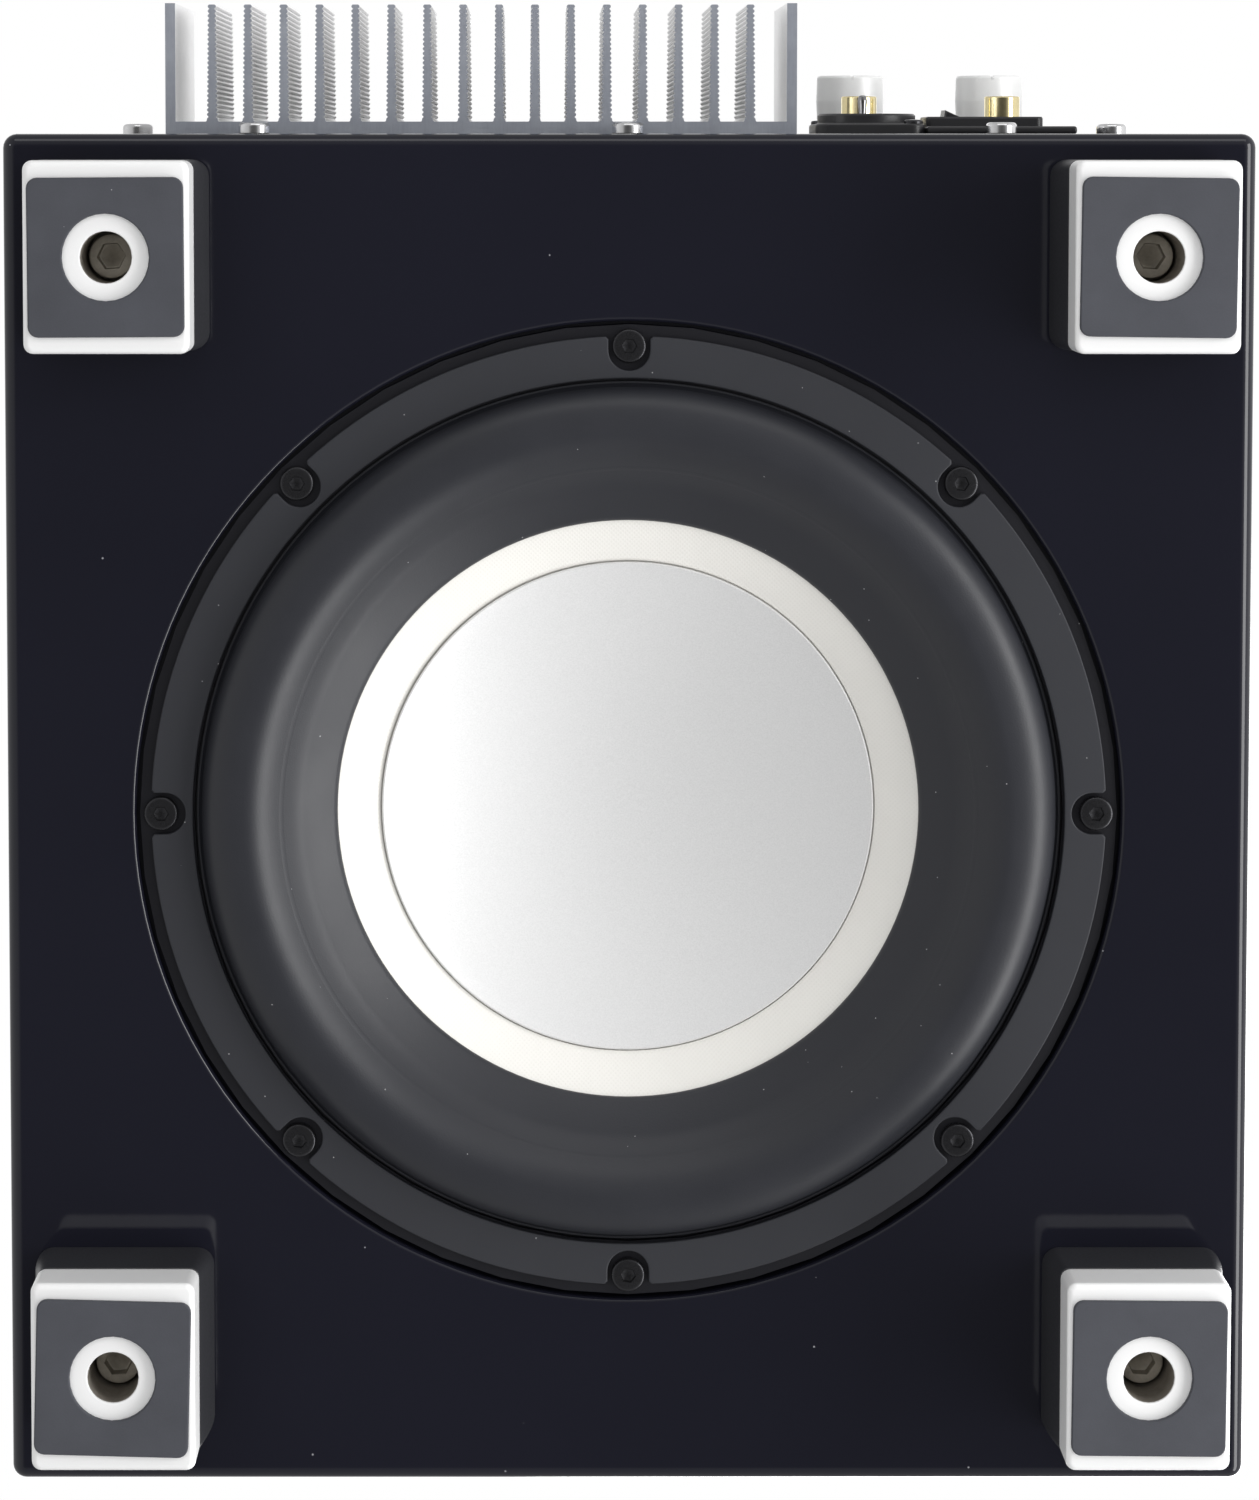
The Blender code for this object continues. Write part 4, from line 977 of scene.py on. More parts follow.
@dataclass
class Driver:
    """The driver that faces the floor: trim, roll surround, cone, dust cap and screws."""

    steps: int = 144
    gap: float = 0.0003
    trim_inner: float = 0.0935
    notch_width: float = 0.0089
    notch_end: float = 0.0951
    screw_count: int = 8
    screw_circle: float = 0.1004
    screw_radius: float = 0.00365
    screw_key: float = 0.0027
    roll_outer: float = 0.0917
    roll_inner: float = 0.0714
    roll_height: float = 0.0086
    rim_radius: float = 0.0928
    skin: float = 0.0011
    cone_shown_radius: float = 0.0627
    cone_slope: float = 0.567
    cone_thick: float = 0.0009
    cap_thick: float = 0.0008
    cap_dish: float = 0.0105
    spider_inner: float = 0.0197
    spider_outer: float = 0.0574
    peak_radius: float = 0.0824
    peak_handle: float = 0.0052
    valley_radius: float = 0.0697
    valley_handle: float = 0.0040
    rim_rise: float = 0.0021
    neck: float = 0.0194
    support: float = 0.0003

    def __post_init__(self) -> None:
        """Read the axis and the main heights from the frame."""
        self.trim_low, self.trim_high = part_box("trim_ring")
        self.axis = (self.trim_low + self.trim_high) / 2
        self.base_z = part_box("bottom_baffle")[0].z
        self.trim_outer = (self.trim_high.x - self.trim_low.x) / 2
        cone_low, cone_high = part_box("cone")
        self.cone_outer = (cone_high.x - cone_low.x) / 2
        self.cone_rim_z = cone_low.z
        cap_low, cap_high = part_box("dust_cap")
        self.cap_radius = (cap_high.x - cap_low.x) / 2

    def cone_z(self, radius: float) -> float:
        """Return the height of the cone's front at a radius."""
        return self.cone_rim_z + (self.cone_outer - radius) * self.cone_slope

    def centred(self, shape: Shape) -> Shape:
        """Move a shape from the origin onto the driver's axis."""
        return shape.at(Heading.UP, (self.axis.x, self.axis.y, 0))

    def trim_outline(self, inset: float) -> list[Point]:
        """Return the trim ring's notched outer edge.

        Args:
            inset: How far inside the true edge it runs.

        Returns:
            The outline, with the same number of points for every inset.
        """
        outer = self.trim_outer - inset
        half = self.notch_width / 2 + inset
        centre = self.notch_end + self.notch_width / 2
        mouth, notch_steps, edge_steps = 0.0006, 16, 24
        corner = math.asin((half + mouth) / outer)
        side_end = math.sqrt(outer ** 2 - half ** 2) - mouth
        outline: list[Point] = []
        sector = math.tau / self.screw_count
        for index in range(self.screw_count):
            turn = Matrix.Rotation(sector * index, 2)
            points = [Vector((side_end, -half)), Vector((centre, -half))]
            points += [Vector((centre - half * math.cos(angle), half * math.sin(angle)))
                       for angle in (math.pi * step / notch_steps - math.pi / 2
                                     for step in range(1, notch_steps))]
            points += [Vector((centre, half)), Vector((side_end, half))]
            span = sector - 2 * corner
            points += [Vector((outer * math.cos(angle), outer * math.sin(angle)))
                       for angle in (corner + span * step / edge_steps for step in range(edge_steps + 1))]
            outline += [tuple(turn @ point) for point in points]
        return outline

    def build_trim(self) -> None:
        """Make the notched rubber ring, with softly rounded edges."""
        edge, steps, half = 0.0003, 4, self.notch_width / 2
        low, high = self.trim_low.z, self.trim_high.z

        def inner(inset: float, height: float) -> Outline:
            """Return the round inner edge, set back by an inset."""
            notch_path = 2 * (self.trim_outer - self.notch_end - half) + math.pi * half
            whole_path = self.screw_count * notch_path + math.tau * self.trim_outer
            start = -math.pi * notch_path / whole_path
            return at_height(circle_along(self.trim_outline(0), self.trim_inner + inset, start), height)

        rings = [inner(edge + self.support, low)]
        rings += [inner(edge * inset, low + edge * rise) for inset, rise in quarter_turn(steps)]
        rings += [inner(0, high), at_height(self.trim_outline(0), high)]
        rings += [at_height(self.trim_outline(edge * inset), low + edge * rise)
                  for rise, inset in quarter_turn(steps)]
        rings.append(at_height(self.trim_outline(edge + self.support), low))
        self.centred(Shape().tube(rings)).publish("trim_ring_rubber", TRIM, stands_for=("trim_ring",))

    def build_surround(self) -> None:
        """Make the half roll with its outer rim and the flange that lies on the cone."""
        outer_z = self.base_z + self.rim_rise
        inner_z = self.cone_z(self.roll_inner) - self.gap - self.skin
        peak = Vector((self.peak_radius, (outer_z + inner_z) / 2 - self.roll_height))
        valley = Vector((self.valley_radius, self.cone_z(self.valley_radius) - self.gap - self.skin))
        lip, steps, square = Vector((self.roll_outer, outer_z)), 20, 2.5
        front = [(self.rim_radius, outer_z), (self.rim_radius - 0.0004, outer_z)]
        for step in range(1, steps + 1):
            angle = math.pi / 2 * step / steps
            front.append((peak.x + (lip.x - peak.x) * math.cos(angle) ** (2 / square),
                          lip.y + (peak.y - lip.y) * math.sin(angle) ** (2 / square)))
        handles = (peak, peak - Vector((self.peak_handle, 0)),
                   valley + Vector((self.valley_handle, -self.valley_handle * self.cone_slope)), valley)
        curve = geometry.interpolate_bezier(*(handle.to_3d() for handle in handles), steps)
        front += [(point.x, point.y) for point in curve]
        lap = self.cone_shown_radius
        front += [(radius, self.cone_z(radius) - self.gap - self.skin * share)
                  for radius, share in ((lap + 0.0009, 1.0), (lap + 0.0003, 0.8), (lap, 0.4))]
        middle = (self.roll_outer + self.roll_inner) / 2
        half = (self.roll_outer - self.roll_inner) / 2 - self.skin
        back = [(self.rim_radius, outer_z + self.skin)]
        for step in range(steps + 1):
            angle = math.pi * step / steps
            back.append((middle + half * math.cos(angle),
                         outer_z + (inner_z - outer_z) * step / steps + self.skin
                         - (self.roll_height - self.skin) * math.sin(angle)))
        back[-1] = (self.roll_inner + self.skin, self.cone_z(self.roll_inner + self.skin) - self.gap)
        back.append((lap, self.cone_z(lap) - self.gap))
        shape = self.centred(Shape().turn(front + back[::-1], self.steps))
        piece = shape.publish("roll_surround", ROLL, stands_for=("surround",), is_blended=True)
        bend_by_radius(piece)

    def build_cone(self) -> None:
        """Make the cone, with a fine groove round the dust cap, and the dished cap."""
        coil_low, coil_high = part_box("voice_coil")
        neck = max((coil_high.x - coil_low.x) / 2, self.neck)
        groove, width = 0.0006, 0.00035
        front = [(self.cone_outer, self.cone_z(self.cone_outer)),
                 (self.cap_radius + width, self.cone_z(self.cap_radius + width)),
                 (self.cap_radius + width * 0.9, self.cone_z(self.cap_radius) + groove),
                 (self.cap_radius - 0.001, self.cone_z(self.cap_radius - 0.001) + groove),
                 (neck, self.cone_z(neck) + groove)]
        back = [(neck, self.cone_z(neck) + self.cone_thick + groove),
                (self.cone_outer, self.cone_z(self.cone_outer) + self.cone_thick)]
        self.centred(Shape().turn(front + back, self.steps)).publish(
            "cone_skin", CONE_SKIN, "cone_assembly", ("cone",))
        rim_z = self.cone_z(self.cap_radius) - self.gap
        dish: list[Point] = []
        steps = 28
        for step in range(steps + 1):
            radius = self.cap_radius * (1 - step / steps)
            dish.append((radius, rim_z + self.cap_dish * (1 - (radius / self.cap_radius) ** 2)))
        face = [(radius, height - self.cap_thick) for radius, height in dish]
        edge = 0.0003
        face[0] = (self.cap_radius - edge, face[0][1])
        rim = rounded([face[1], face[0], (self.cap_radius, face[0][1] + edge * 0.6), dish[0]], edge, 3,
                      closed=False)
        profile = [(max(radius, 0), height) for radius, height in rim + dish[1:] + face[:1:-1]]
        self.centred(Shape().turn(profile, self.steps)).publish(
            "dust_cap_dish", CAP_METAL, "cone_assembly", ("dust_cap",))

    def build_spider(self) -> None:
        """Make the corrugated cloth disc that centres the coil."""
        low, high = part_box("spider")
        middle, half, wave = (low.z + high.z) / 2, 0.0003, 0.0009
        waved_out, waved_in, waves, steps = 0.0515, 0.0235, 5, 60
        front, back = [], []
        for step in range(steps + 1):
            radius = self.spider_outer + (self.spider_inner - self.spider_outer) * step / steps
            share = min(1.0, max(0.0, (waved_out - radius) / (waved_out - waved_in)))
            height = middle + wave * math.sin(share * math.tau * waves) * min(1.0, 8 * share * (1 - share))
            front.append((radius, height - half))
            back.append((radius, height + half))
        piece = self.centred(Shape().turn(front + back[::-1], 96)).publish(
            "spider_disc", SPIDER_CLOTH, stands_for=("spider",), is_blended=True)
        bend_by_radius(piece)

    def build_screws(self) -> None:
        """Make the eight button-head screws with their key holes."""
        low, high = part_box("driver_screw_1")
        count, radius, key = 36, self.screw_radius, self.screw_key
        under = self.trim_high.z
        dome = ((0.55, 0.0), (0.80, 0.00004), (0.90, 0.0001), (0.945, 0.0002), (0.985, 0.00045),
                (1.0, 0.0008))
        shank = 0.0018
        rings = [at_height(circle(0.0004, count), low.z + 0.0014)]
        rings.append(at_height(hexagon(key * 0.96, count), low.z + 0.0011))
        rings.append(at_height(hexagon(key, count), low.z + 0.0002))
        rings.append(at_height(hexagon(key * 1.1, count), low.z))
        rings += [at_height(circle(radius * share, count), low.z + rise) for share, rise in dome]
        rings += [at_height(circle(size, count), height) for size, height in (
            (radius, under), (shank, under), (shank, high.z))]
        screw = Shape().loft(rings)
        for index in range(self.screw_count):
            angle = math.tau * index / self.screw_count
            place = Vector((self.axis.x + self.screw_circle * math.cos(angle),
                            self.axis.y + self.screw_circle * math.sin(angle), 0))
            turned = Matrix.Translation(place) @ Matrix.Rotation(angle * 2.7, 4, "Z")
            screw.copy().moved(turned).publish(
                f"driver_screw_head_{index + 1}", BLACK_STEEL, stands_for=(f"driver_screw_{index + 1}",))

    def build(self) -> None:
        """Make every piece of the driver and dress the frame nodes behind it."""
        self.build_trim()
        self.build_surround()
        self.build_cone()
        self.build_spider()
        self.build_screws()
        dress(FRAME_PAINT, "driver_basket")
        dress(COIL_WIRE, "voice_coil")
        dress(STEEL, "top_plate", "yoke")
        dress(FERRITE, "magnet")


# ---------------------------------------------------------------- feet

@dataclass
class Foot:
    """One foot: dark flared block, satin metal block, stuck-on pad and the bolt through them."""

    name: str
    pad_turn: float
    wide: float = 0.0344
    deep: float = 0.0399
    corner: float = 0.002
    least_corner: float = 0.0008
    face_edge: float = 0.0013
    flare_wide: float = 0.0382
    flare_deep: float = 0.0403
    flare_corner: float = 0.0036
    pad_wide: float = 0.0323
    pad_deep: float = 0.0329
    pad_corner: float = 0.0022
    pad_hole: float = 0.009
    bore: float = 0.00535
    spigot: float = 0.009
    clearance: float = 0.0035
    seam: float = 0.00045
    shank: float = 0.003
    key: float = 0.005

    def __post_init__(self) -> None:
        """Read this foot's place and heights from the frame."""
        self.cap_low, self.cap_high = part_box(f"foot_cap_{self.name}")
        self.base_low, self.base_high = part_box(f"foot_base_{self.name}")
        self.bolt_low, self.bolt_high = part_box(f"foot_bolt_{self.name}")
        self.pad_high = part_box(f"foot_pad_{self.name}")[1].z
        middle = (self.cap_low + self.cap_high) / 2
        self.place = Vector((middle.x, middle.y, 0))

    def publish(self, shape: Shape, kind: str, finish: Finish) -> bpy.types.Object:
        """Place a shape on the foot's axis and make it stand for the foot's node of that kind."""
        return shape.at(Heading.UP, self.place).publish(f"{kind}_{self.name}_body", finish,
                                                        stands_for=(f"{kind}_{self.name}",))

    def seam_outline(self) -> list[Point]:
        """Return the block's outline where the seam between its two halves is let in."""
        return block_outline(self.wide - 2 * self.seam, self.deep - 2 * self.seam, self.corner)

    def build_cap(self) -> None:
        """Make the metal block with its rounded face edge, chamfered bore and spigot."""
        low, seam = self.cap_low.z, self.base_low.z - 0.0003
        seat = 0.0215
        sides = block_outline(self.wide, self.deep, self.corner)

        def ring(radius: float, height: float) -> Outline:
            """Return a round outline that matches the block's points."""
            return at_height(circle_like(sides, radius), height)

        chamfer, steps, edge = 0.0004, 5, self.face_edge
        rings = [ring(self.clearance, seat), ring(self.bore, seat), ring(self.bore, low + chamfer),
                 ring(self.bore + chamfer * 0.3, low + chamfer * 0.3), ring(self.bore + chamfer, low)]
        for inset, rise in quarter_turn(steps):
            inset *= edge
            face = block_outline(self.wide - 2 * inset, self.deep - 2 * inset,
                                 max(self.corner - inset, self.least_corner))
            rings.append(at_height(face, low + edge * rise))
        rings += [at_height(sides, seam - self.seam), at_height(self.seam_outline(), seam),
                  ring(self.spigot, seam), ring(self.spigot, self.cap_high.z),
                  ring(self.clearance, self.cap_high.z)]
        piece = self.publish(Shape().tube(rings), "foot_cap", FOOT_METAL)
        # The bore's wall gets the darker, browner copy of the foot metal.
        paint(piece, BORE_METAL, lambda centre, normal: centre.z > low + chamfer
              and (centre.xy - self.place.xy).length < self.bore + chamfer / 4)

    def build_base(self) -> None:
        """Make the dark block, which flares in a gentle curve towards the cabinet."""
        low, high = self.base_low.z, self.base_high.z
        pocket, roof = self.spigot + 0.0005, self.cap_high.z + 0.0003
        sides = block_outline(self.wide, self.deep, self.corner)

        def ring(radius: float, height: float) -> Outline:
            """Return a round outline that matches the block's points."""
            return at_height(circle_like(sides, radius), height)

        rings = [ring(self.clearance, high), ring(self.clearance, roof), ring(pocket, roof),
                 ring(pocket, low)]
        rings.append(at_height(self.seam_outline(), low))
        steps = 8
        for step in range(steps + 1):
            share = step / steps
            flare = math.sin(share * math.pi / 2)
            rings.append(at_height(
                block_outline(self.wide + (self.flare_wide - self.wide) * flare,
                              self.deep + (self.flare_deep - self.deep) * flare,
                              self.corner + (self.flare_corner - self.corner) * share),
                low + self.seam + (high - low - self.seam) * share))
        self.publish(Shape().tube(rings), "foot_base", FOOT_PLASTIC)

    def build_pad(self) -> None:
        """Make the stuck-on rubber pad with its round opening."""
        edge, steps, top = 0.00035, 3, self.pad_high
        sides = block_outline(self.pad_wide, self.pad_deep, self.pad_corner)
        rings = [at_height(circle_like(sides, self.pad_hole), top)]
        rings += [at_height(circle_like(sides, self.pad_hole + edge * inset), edge * rise)
                  for rise, inset in quarter_turn(steps)]
        for inset, rise in quarter_turn(steps):
            inset *= edge
            rings.append(at_height(block_outline(self.pad_wide - 2 * inset, self.pad_deep - 2 * inset,
                                                 self.pad_corner - inset), edge * rise))
        rings.append(at_height(sides, top))
        turned = Shape().tube(rings).moved(Matrix.Rotation(self.pad_turn, 4, "Z"))
        self.publish(turned, "foot_pad", PAD_RUBBER)

    def build_bolt(self) -> None:
        """Make the socket-head bolt, whose key hole ends in a drilled cone."""
        low, count = self.bolt_low.z, 36
        head, radius, key_floor = 0.0060, 0.0047, 0.0030
        rings = [at_height(circle(0.0002, count), low + 0.0042),
                 at_height(circle(self.key * 0.42, count), low + key_floor),
                 at_height(hexagon(self.key * 0.985, count), low + key_floor),
                 at_height(hexagon(self.key, count), low + 0.0003),
                 at_height(hexagon(self.key * 1.07, count), low),
                 at_height(circle(radius - 0.0005, count), low),
                 at_height(circle(radius - 0.00015, count), low + 0.00015),
                 at_height(circle(radius, count), low + 0.0005),
                 at_height(circle(radius, count), low + head),
                 at_height(circle(self.shank, count), low + head),
                 at_height(circle(self.shank, count), self.bolt_high.z)]
        turned = Shape().loft(rings).moved(Matrix.Rotation(self.place.x * 9, 4, "Z"))
        self.publish(turned, "foot_bolt", BOLT_METAL)

    def build(self) -> None:
        """Make the four pieces."""
        self.build_cap()
        self.build_base()
        self.build_pad()
        self.build_bolt()


# ---------------------------------------------------------------- amplifier

@dataclass
class HeatSink:
    """Finned extrusion with finely rippled fins, thick end fins and sawn ends, whose darker colour is painted
    shade.
    """

    fin_count: int = 18
    end_step: float = 0.0091
    end_thick: float = 0.0022
    root: float = 0.002
    tip: float = 0.0014
    tip_drop: float = 0.0002
    base_reach: float = 0.0028
    ripple_pitch: float = 0.0010
    ripple_depth: float = 0.0002
    fillet: float = 0.0006

    def fin(self, centre: float, foot: float, top: float) -> list[Point]:
        """Return one fin's outline, from its left foot over its tip to its right foot.

        Args:
            centre: Its place along X.
            foot: Where it leaves the base, along Y.
            top: Its tip, along Y.

        Returns:
            The outline.
        """
        depth, per_ripple, edge = self.ripple_depth, 4, 0.0001
        steps = round((top - foot) / self.ripple_pitch) * per_ripple
        side: list[Point] = []
        for step in range(steps):
            share = step / steps
            bulge = abs(math.sin(math.pi * step / per_ripple))
            half = (self.root + (self.tip - self.root) * share) / 2 - depth + depth * 2 * bulge
            near = max(0.0, 1 - share * (top - foot) / self.fillet)
            side.append((half + self.fillet * (1 - math.sqrt(1 - near ** 2)), foot + (top - foot) * share))
        side.append((self.tip / 2 - edge, top - edge))
        return [(centre - x, y) for x, y in side] + [(centre + x, y) for x, y in reversed(side)]

    def build(self) -> None:
        """Make the heat sink."""
        low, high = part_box("heat_sink")
        face, tip_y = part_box("amp_plate")[1].y + 0.0002 + self.base_reach, high.y
        half_end = self.end_thick / 2
        first, last = low.x + half_end + self.end_step, high.x - half_end - self.end_step
        inner = self.fin_count - 2
        outline: list[Point] = [(high.x, low.y), (low.x, low.y), (low.x, face)]
        outline += [(low.x, tip_y), (low.x + self.end_thick, tip_y), (low.x + self.end_thick, face)]
        for index in range(inner):
            centre = first + (last - first) * index / (inner - 1)
            outline += self.fin(centre, face, tip_y - self.tip_drop)
        outline += [(high.x - self.end_thick, face), (high.x - self.end_thick, tip_y), (high.x, tip_y),
                    (high.x, face)]
        piece = Shape().loft([at_height(outline, low.z), at_height(outline, high.z)]).publish(
            "heat_sink_fins", SINK_METAL, stands_for=("heat_sink",))
        # The ends, facing up and down, get the darker copy: painted shade.
        paint(piece, SHADED_SINK_METAL, lambda centre, normal: abs(normal.z) > 0.9)


@dataclass
class AmplifierPanel:
    """The rear plate and everything on it."""

    screw_radius: float = 0.0034
    screw_inset: float = 0.0045
    screw_column: float = 0.081
    screw_rows: tuple[float, float] = (0.098, 0.228)
    plate_edge: float = 0.0004
    seat_gap: float = 0.0003
    inlet_x: float = -0.0785
    inlet_z: float = 0.0795
    rocker_x: float = -0.0817
    toggle_x: float = -0.0545
    toggle_z: float = 0.112
    throw: float = math.radians(10)

    def __post_init__(self) -> None:
        """Read the plate's and the fittings' places from the frame."""
        self.low, self.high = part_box("amp_plate")
        self.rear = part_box("rear_panel")[1].y
        self.face = self.high.y
        self.under = self.face + self.seat_gap

    def centre(self, node: str) -> Vector:
        """Return the middle of a frame node."""
        low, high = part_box(node)
        return (low + high) / 2

    def screw_places(self) -> list[tuple[Point, tuple[str, ...]]]:
        """Return the ten plate screws' places as (x, z), each with the frame nodes that it stands for."""
        row_low, row_high = self.low.z + self.screw_inset, self.high.z - self.screw_inset
        side, column = self.high.x - self.screw_inset, self.screw_column
        framed, others = (
            [(-column, row), (0.0, row), (column, row), (-side, side_row), (side, side_row)]
            for row, side_row in zip((row_low, row_high), self.screw_rows))
        places = [(place, (f"plate_screw_{index}",)) for index, place in enumerate(framed, start=1)]
        return places + [(place, ()) for place in others]

    def hole(self, radius: float, x: float, z: float, steps: int = 24) -> Shape:
        """Return a round cutter along Y."""
        front, back = self.low.y - 0.01, self.rear + 0.01
        profile = [(0, front), (radius, front), (radius, back), (0, back)]
        return Shape().turn(profile, steps).at(Heading.REAR, (x, 0, z))

    def build_plate(self) -> None:
        """Make the powder-coated plate with its openings."""
        module_low, module_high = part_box("power_inlet")
        holes = [Shape().block((module_low.x + 0.0006, self.low.y - 0.01, module_low.z + 0.0006),
                               (module_high.x - 0.0006, self.rear + 0.01, module_high.z - 0.0006))]
        socket, toggle = self.centre("speaker_socket"), self.centre("toggle_bushing")
        holes.append(self.hole(0.0112, socket.x, socket.z, 48))
        holes.append(self.hole(0.0029, toggle.x, toggle.z))
        for number, knob in enumerate(("knob_crossover", "knob_level"), start=1):
            place, phono = self.centre(knob), self.centre(f"phono_socket_{number}")
            holes += [self.hole(0.0036, place.x, place.z), self.hole(0.0038, phono.x, phono.z)]
        holes += [self.hole(0.0019, *place, 12) for place, _ in self.screw_places()]
        Shape().block(self.low, self.high, self.plate_edge, 3).minus(*holes).publish(
            "amp_plate_sheet", PLATE_PAINT, stands_for=("amp_plate",))

    def build_screws(self) -> None:
        """Make the ten pan-head screws with cross recesses."""
        under, radius = self.under, self.screw_radius
        shank, end, top, crown = 0.0015, self.rear - 0.014, self.rear + 0.0025, 0.0001
        profile = rounded([(0, end), (shank, end), (shank, under), (radius, under), (radius, top), (0, top)],
                          (0, 0, 0, 0.0002, 0.0008, 0), 6)
        profile = [(out, height + crown * (1 - (out / radius) ** 2) if height > top - 0.0002 else height)
                   for out, height in profile]
        slots = [Shape().block((-0.0014, -0.0003, top - 0.0007), (0.0014, 0.0003, top + 0.001))
                 .moved(Matrix.Rotation(turn, 4, "Z")) for turn in (0.0, math.pi / 2)]
        screw = Shape().turn(profile, 32).minus(*slots)
        for index, ((x, z), nodes) in enumerate(self.screw_places(), start=1):
            turned = Heading.REAR.matrix((x, 0, z)) @ Matrix.Rotation(index * 1.3, 4, "Z")
            screw.copy().moved(turned).publish(f"plate_screw_head_{index}", CHROME, stands_for=nodes)

    def build_knobs(self) -> None:
        """Make the two control knobs: turned faces, a shallow dish and a pointer groove."""
        for node, body in (("knob_crossover", "crossover_knob"), ("knob_level", "level_knob")):
            low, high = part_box(node)
            middle, radius = (low + high) / 2, (high.x - low.x) / 2
            back, tip, shaft = self.rear + 0.0012, high.y, 0.003
            profile = rounded(
                [(0, low.y), (shaft, low.y), (shaft, back), (radius * 0.9, back),
                 (radius * 0.965, back + 0.0008), (radius, tip - 0.006), (radius - 0.0002, tip),
                 (radius * 0.8, tip), (radius * 0.72, tip - 0.0003), (0, tip - 0.0005)],
                (0, 0, 0, 0.0003, 0.0004, 0.002, 0.0011, 0.0002, 0.0003, 0), 5)
            half_groove = 0.00035
            groove = Shape().block((-half_groove, radius * 0.35, tip - 0.0009),
                                   (half_groove, radius * 1.1, tip + 0.001))
            Shape().turn(profile, 72).minus(groove).at(Heading.REAR, (middle.x, 0, middle.z)).publish(
                f"{node}_turned", KNOB_METAL, body, (node,))

    def build_phono_sockets(self) -> None:
        """Make the gold phono sockets: nut, washer, barrel, insulator and centre contact."""
        for number in (1, 2):
            node = f"phono_socket_{number}"
            low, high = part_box(node)
            middle, tip = (low + high) / 2, high.y
            radius, bore, contact, washer = 0.0041, 0.0033, 0.0017, 0.0055
            under, washer_top, bore_floor = self.under, self.under + 0.0005, tip - 0.0062
            barrel = rounded(
                [(bore, low.y), (bore, under), (washer, under), (washer, washer_top), (radius, washer_top),
                 (radius, tip), (bore, tip), (bore, bore_floor), (contact, bore_floor), (contact, low.y)],
                (0, 0, 0.0001, 0.0002, 0, 0.0006, 0.0001, 0, 0, 0), 5)
            nut = hexagon_nut(0.0102, 0.0052, radius + 0.00002,
                              (washer_top, self.rear + 0.0016, self.rear + 0.0019))
            facing = Heading.REAR.matrix((middle.x, 0, middle.z))
            Shape().turn(barrel, 48).joined(nut).moved(facing).publish(f"{node}_barrel", GOLD,
                                                                       stands_for=(node,))
            outer, foot, face = bore - 0.00005, tip - 0.0060, tip - 0.0014
            ring = rounded([(contact, foot), (outer, foot), (outer, face), (contact, face)], 0.00015, 3)
            Shape().turn(ring, 40).moved(facing).publish(f"{node}_insulator", SOCKET_PLASTIC)

    def build_speaker_socket(self) -> None:
        """Make the locking speaker socket: flange, collar, keyed core and its two screws."""
        low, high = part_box("speaker_socket")
        middle = (low + high) / 2
        flange_top, collar_top = self.rear + 0.00235, high.y
        under, back = self.under, low.y
        wide, tall, corner, edge = high.x - low.x, high.z - low.z, 0.003, 0.0005
        facing = Heading.REAR.matrix((middle.x, 0, middle.z))

        def flange(inset: float, radius: float) -> list[Point]:
            """Return the flange's outline, made smaller by an inset."""
            return block_outline(wide - inset, tall - inset, radius, 6, 10)

        sides = flange(0.0, corner)

        def ring(radius: float, height: float) -> Outline:
            """Return a round outline that matches the flange's points."""
            return at_height(circle_like(sides, radius), height)

        collar, bore, floor = 0.0108, 0.0094, self.rear - 0.0135
        outer = [ring(0.0002, back), ring(collar, back), ring(collar, under), at_height(sides, under),
                 at_height(sides, flange_top - edge),
                 at_height(flange(edge * 0.6, corner), flange_top - edge * 0.3),
                 at_height(flange(edge * 2, corner - edge), flange_top),
                 ring(collar + 0.0003, flange_top), ring(collar, flange_top + 0.0003),
                 ring(collar, collar_top - 0.0004), ring(collar - 0.0004, collar_top),
                 ring(bore + 0.0003, collar_top), ring(bore, collar_top - 0.0003),
                 ring(bore, floor), ring(0.0002, floor)]
        Shape().loft(outer).moved(facing).publish("speaker_socket_shell", SOCKET_PLASTIC,
                                                  stands_for=("speaker_socket",))
        core_in, core_out, core_foot, core_top = 0.0028, 0.0072, floor + 0.0002, collar_top - 0.0012
        core = rounded([(core_in, core_foot), (core_out, core_foot), (core_out, core_top),
                        (core_in, core_top)], (0, 0, 0.0004, 0.0004), 4)
        keys = [Shape().block((-0.0011, 0.0055, floor - 0.001), (0.0011, 0.0085, collar_top + 0.002))
                .moved(Matrix.Rotation(turn, 4, "Z")) for turn in (0.0, math.pi * 0.62, math.pi * 1.38)]
        Shape().turn(core, 48).minus(*keys).moved(facing).publish("speaker_socket_core", SOCKET_PLASTIC)
        head_radius, seat = 0.0021, flange_top + 0.00002
        head = rounded([(0, seat), (head_radius, seat), (head_radius, flange_top + 0.0008),
                        (0, flange_top + 0.0010)], (0, 0, 0.0006, 0), 4)
        for index, (x, z) in enumerate(((-0.0095, -0.0122), (0.0095, 0.0122)), start=1):
            slot = Shape().block((-0.0014, -0.00025, flange_top + 0.0005),
                                 (0.0014, 0.00025, flange_top + 0.002))
            Shape().turn(head, 24).minus(slot).at(Heading.REAR, (middle.x + x, 0, middle.z + z)).publish(
                f"speaker_socket_screw_{index}", BLACK_STEEL)

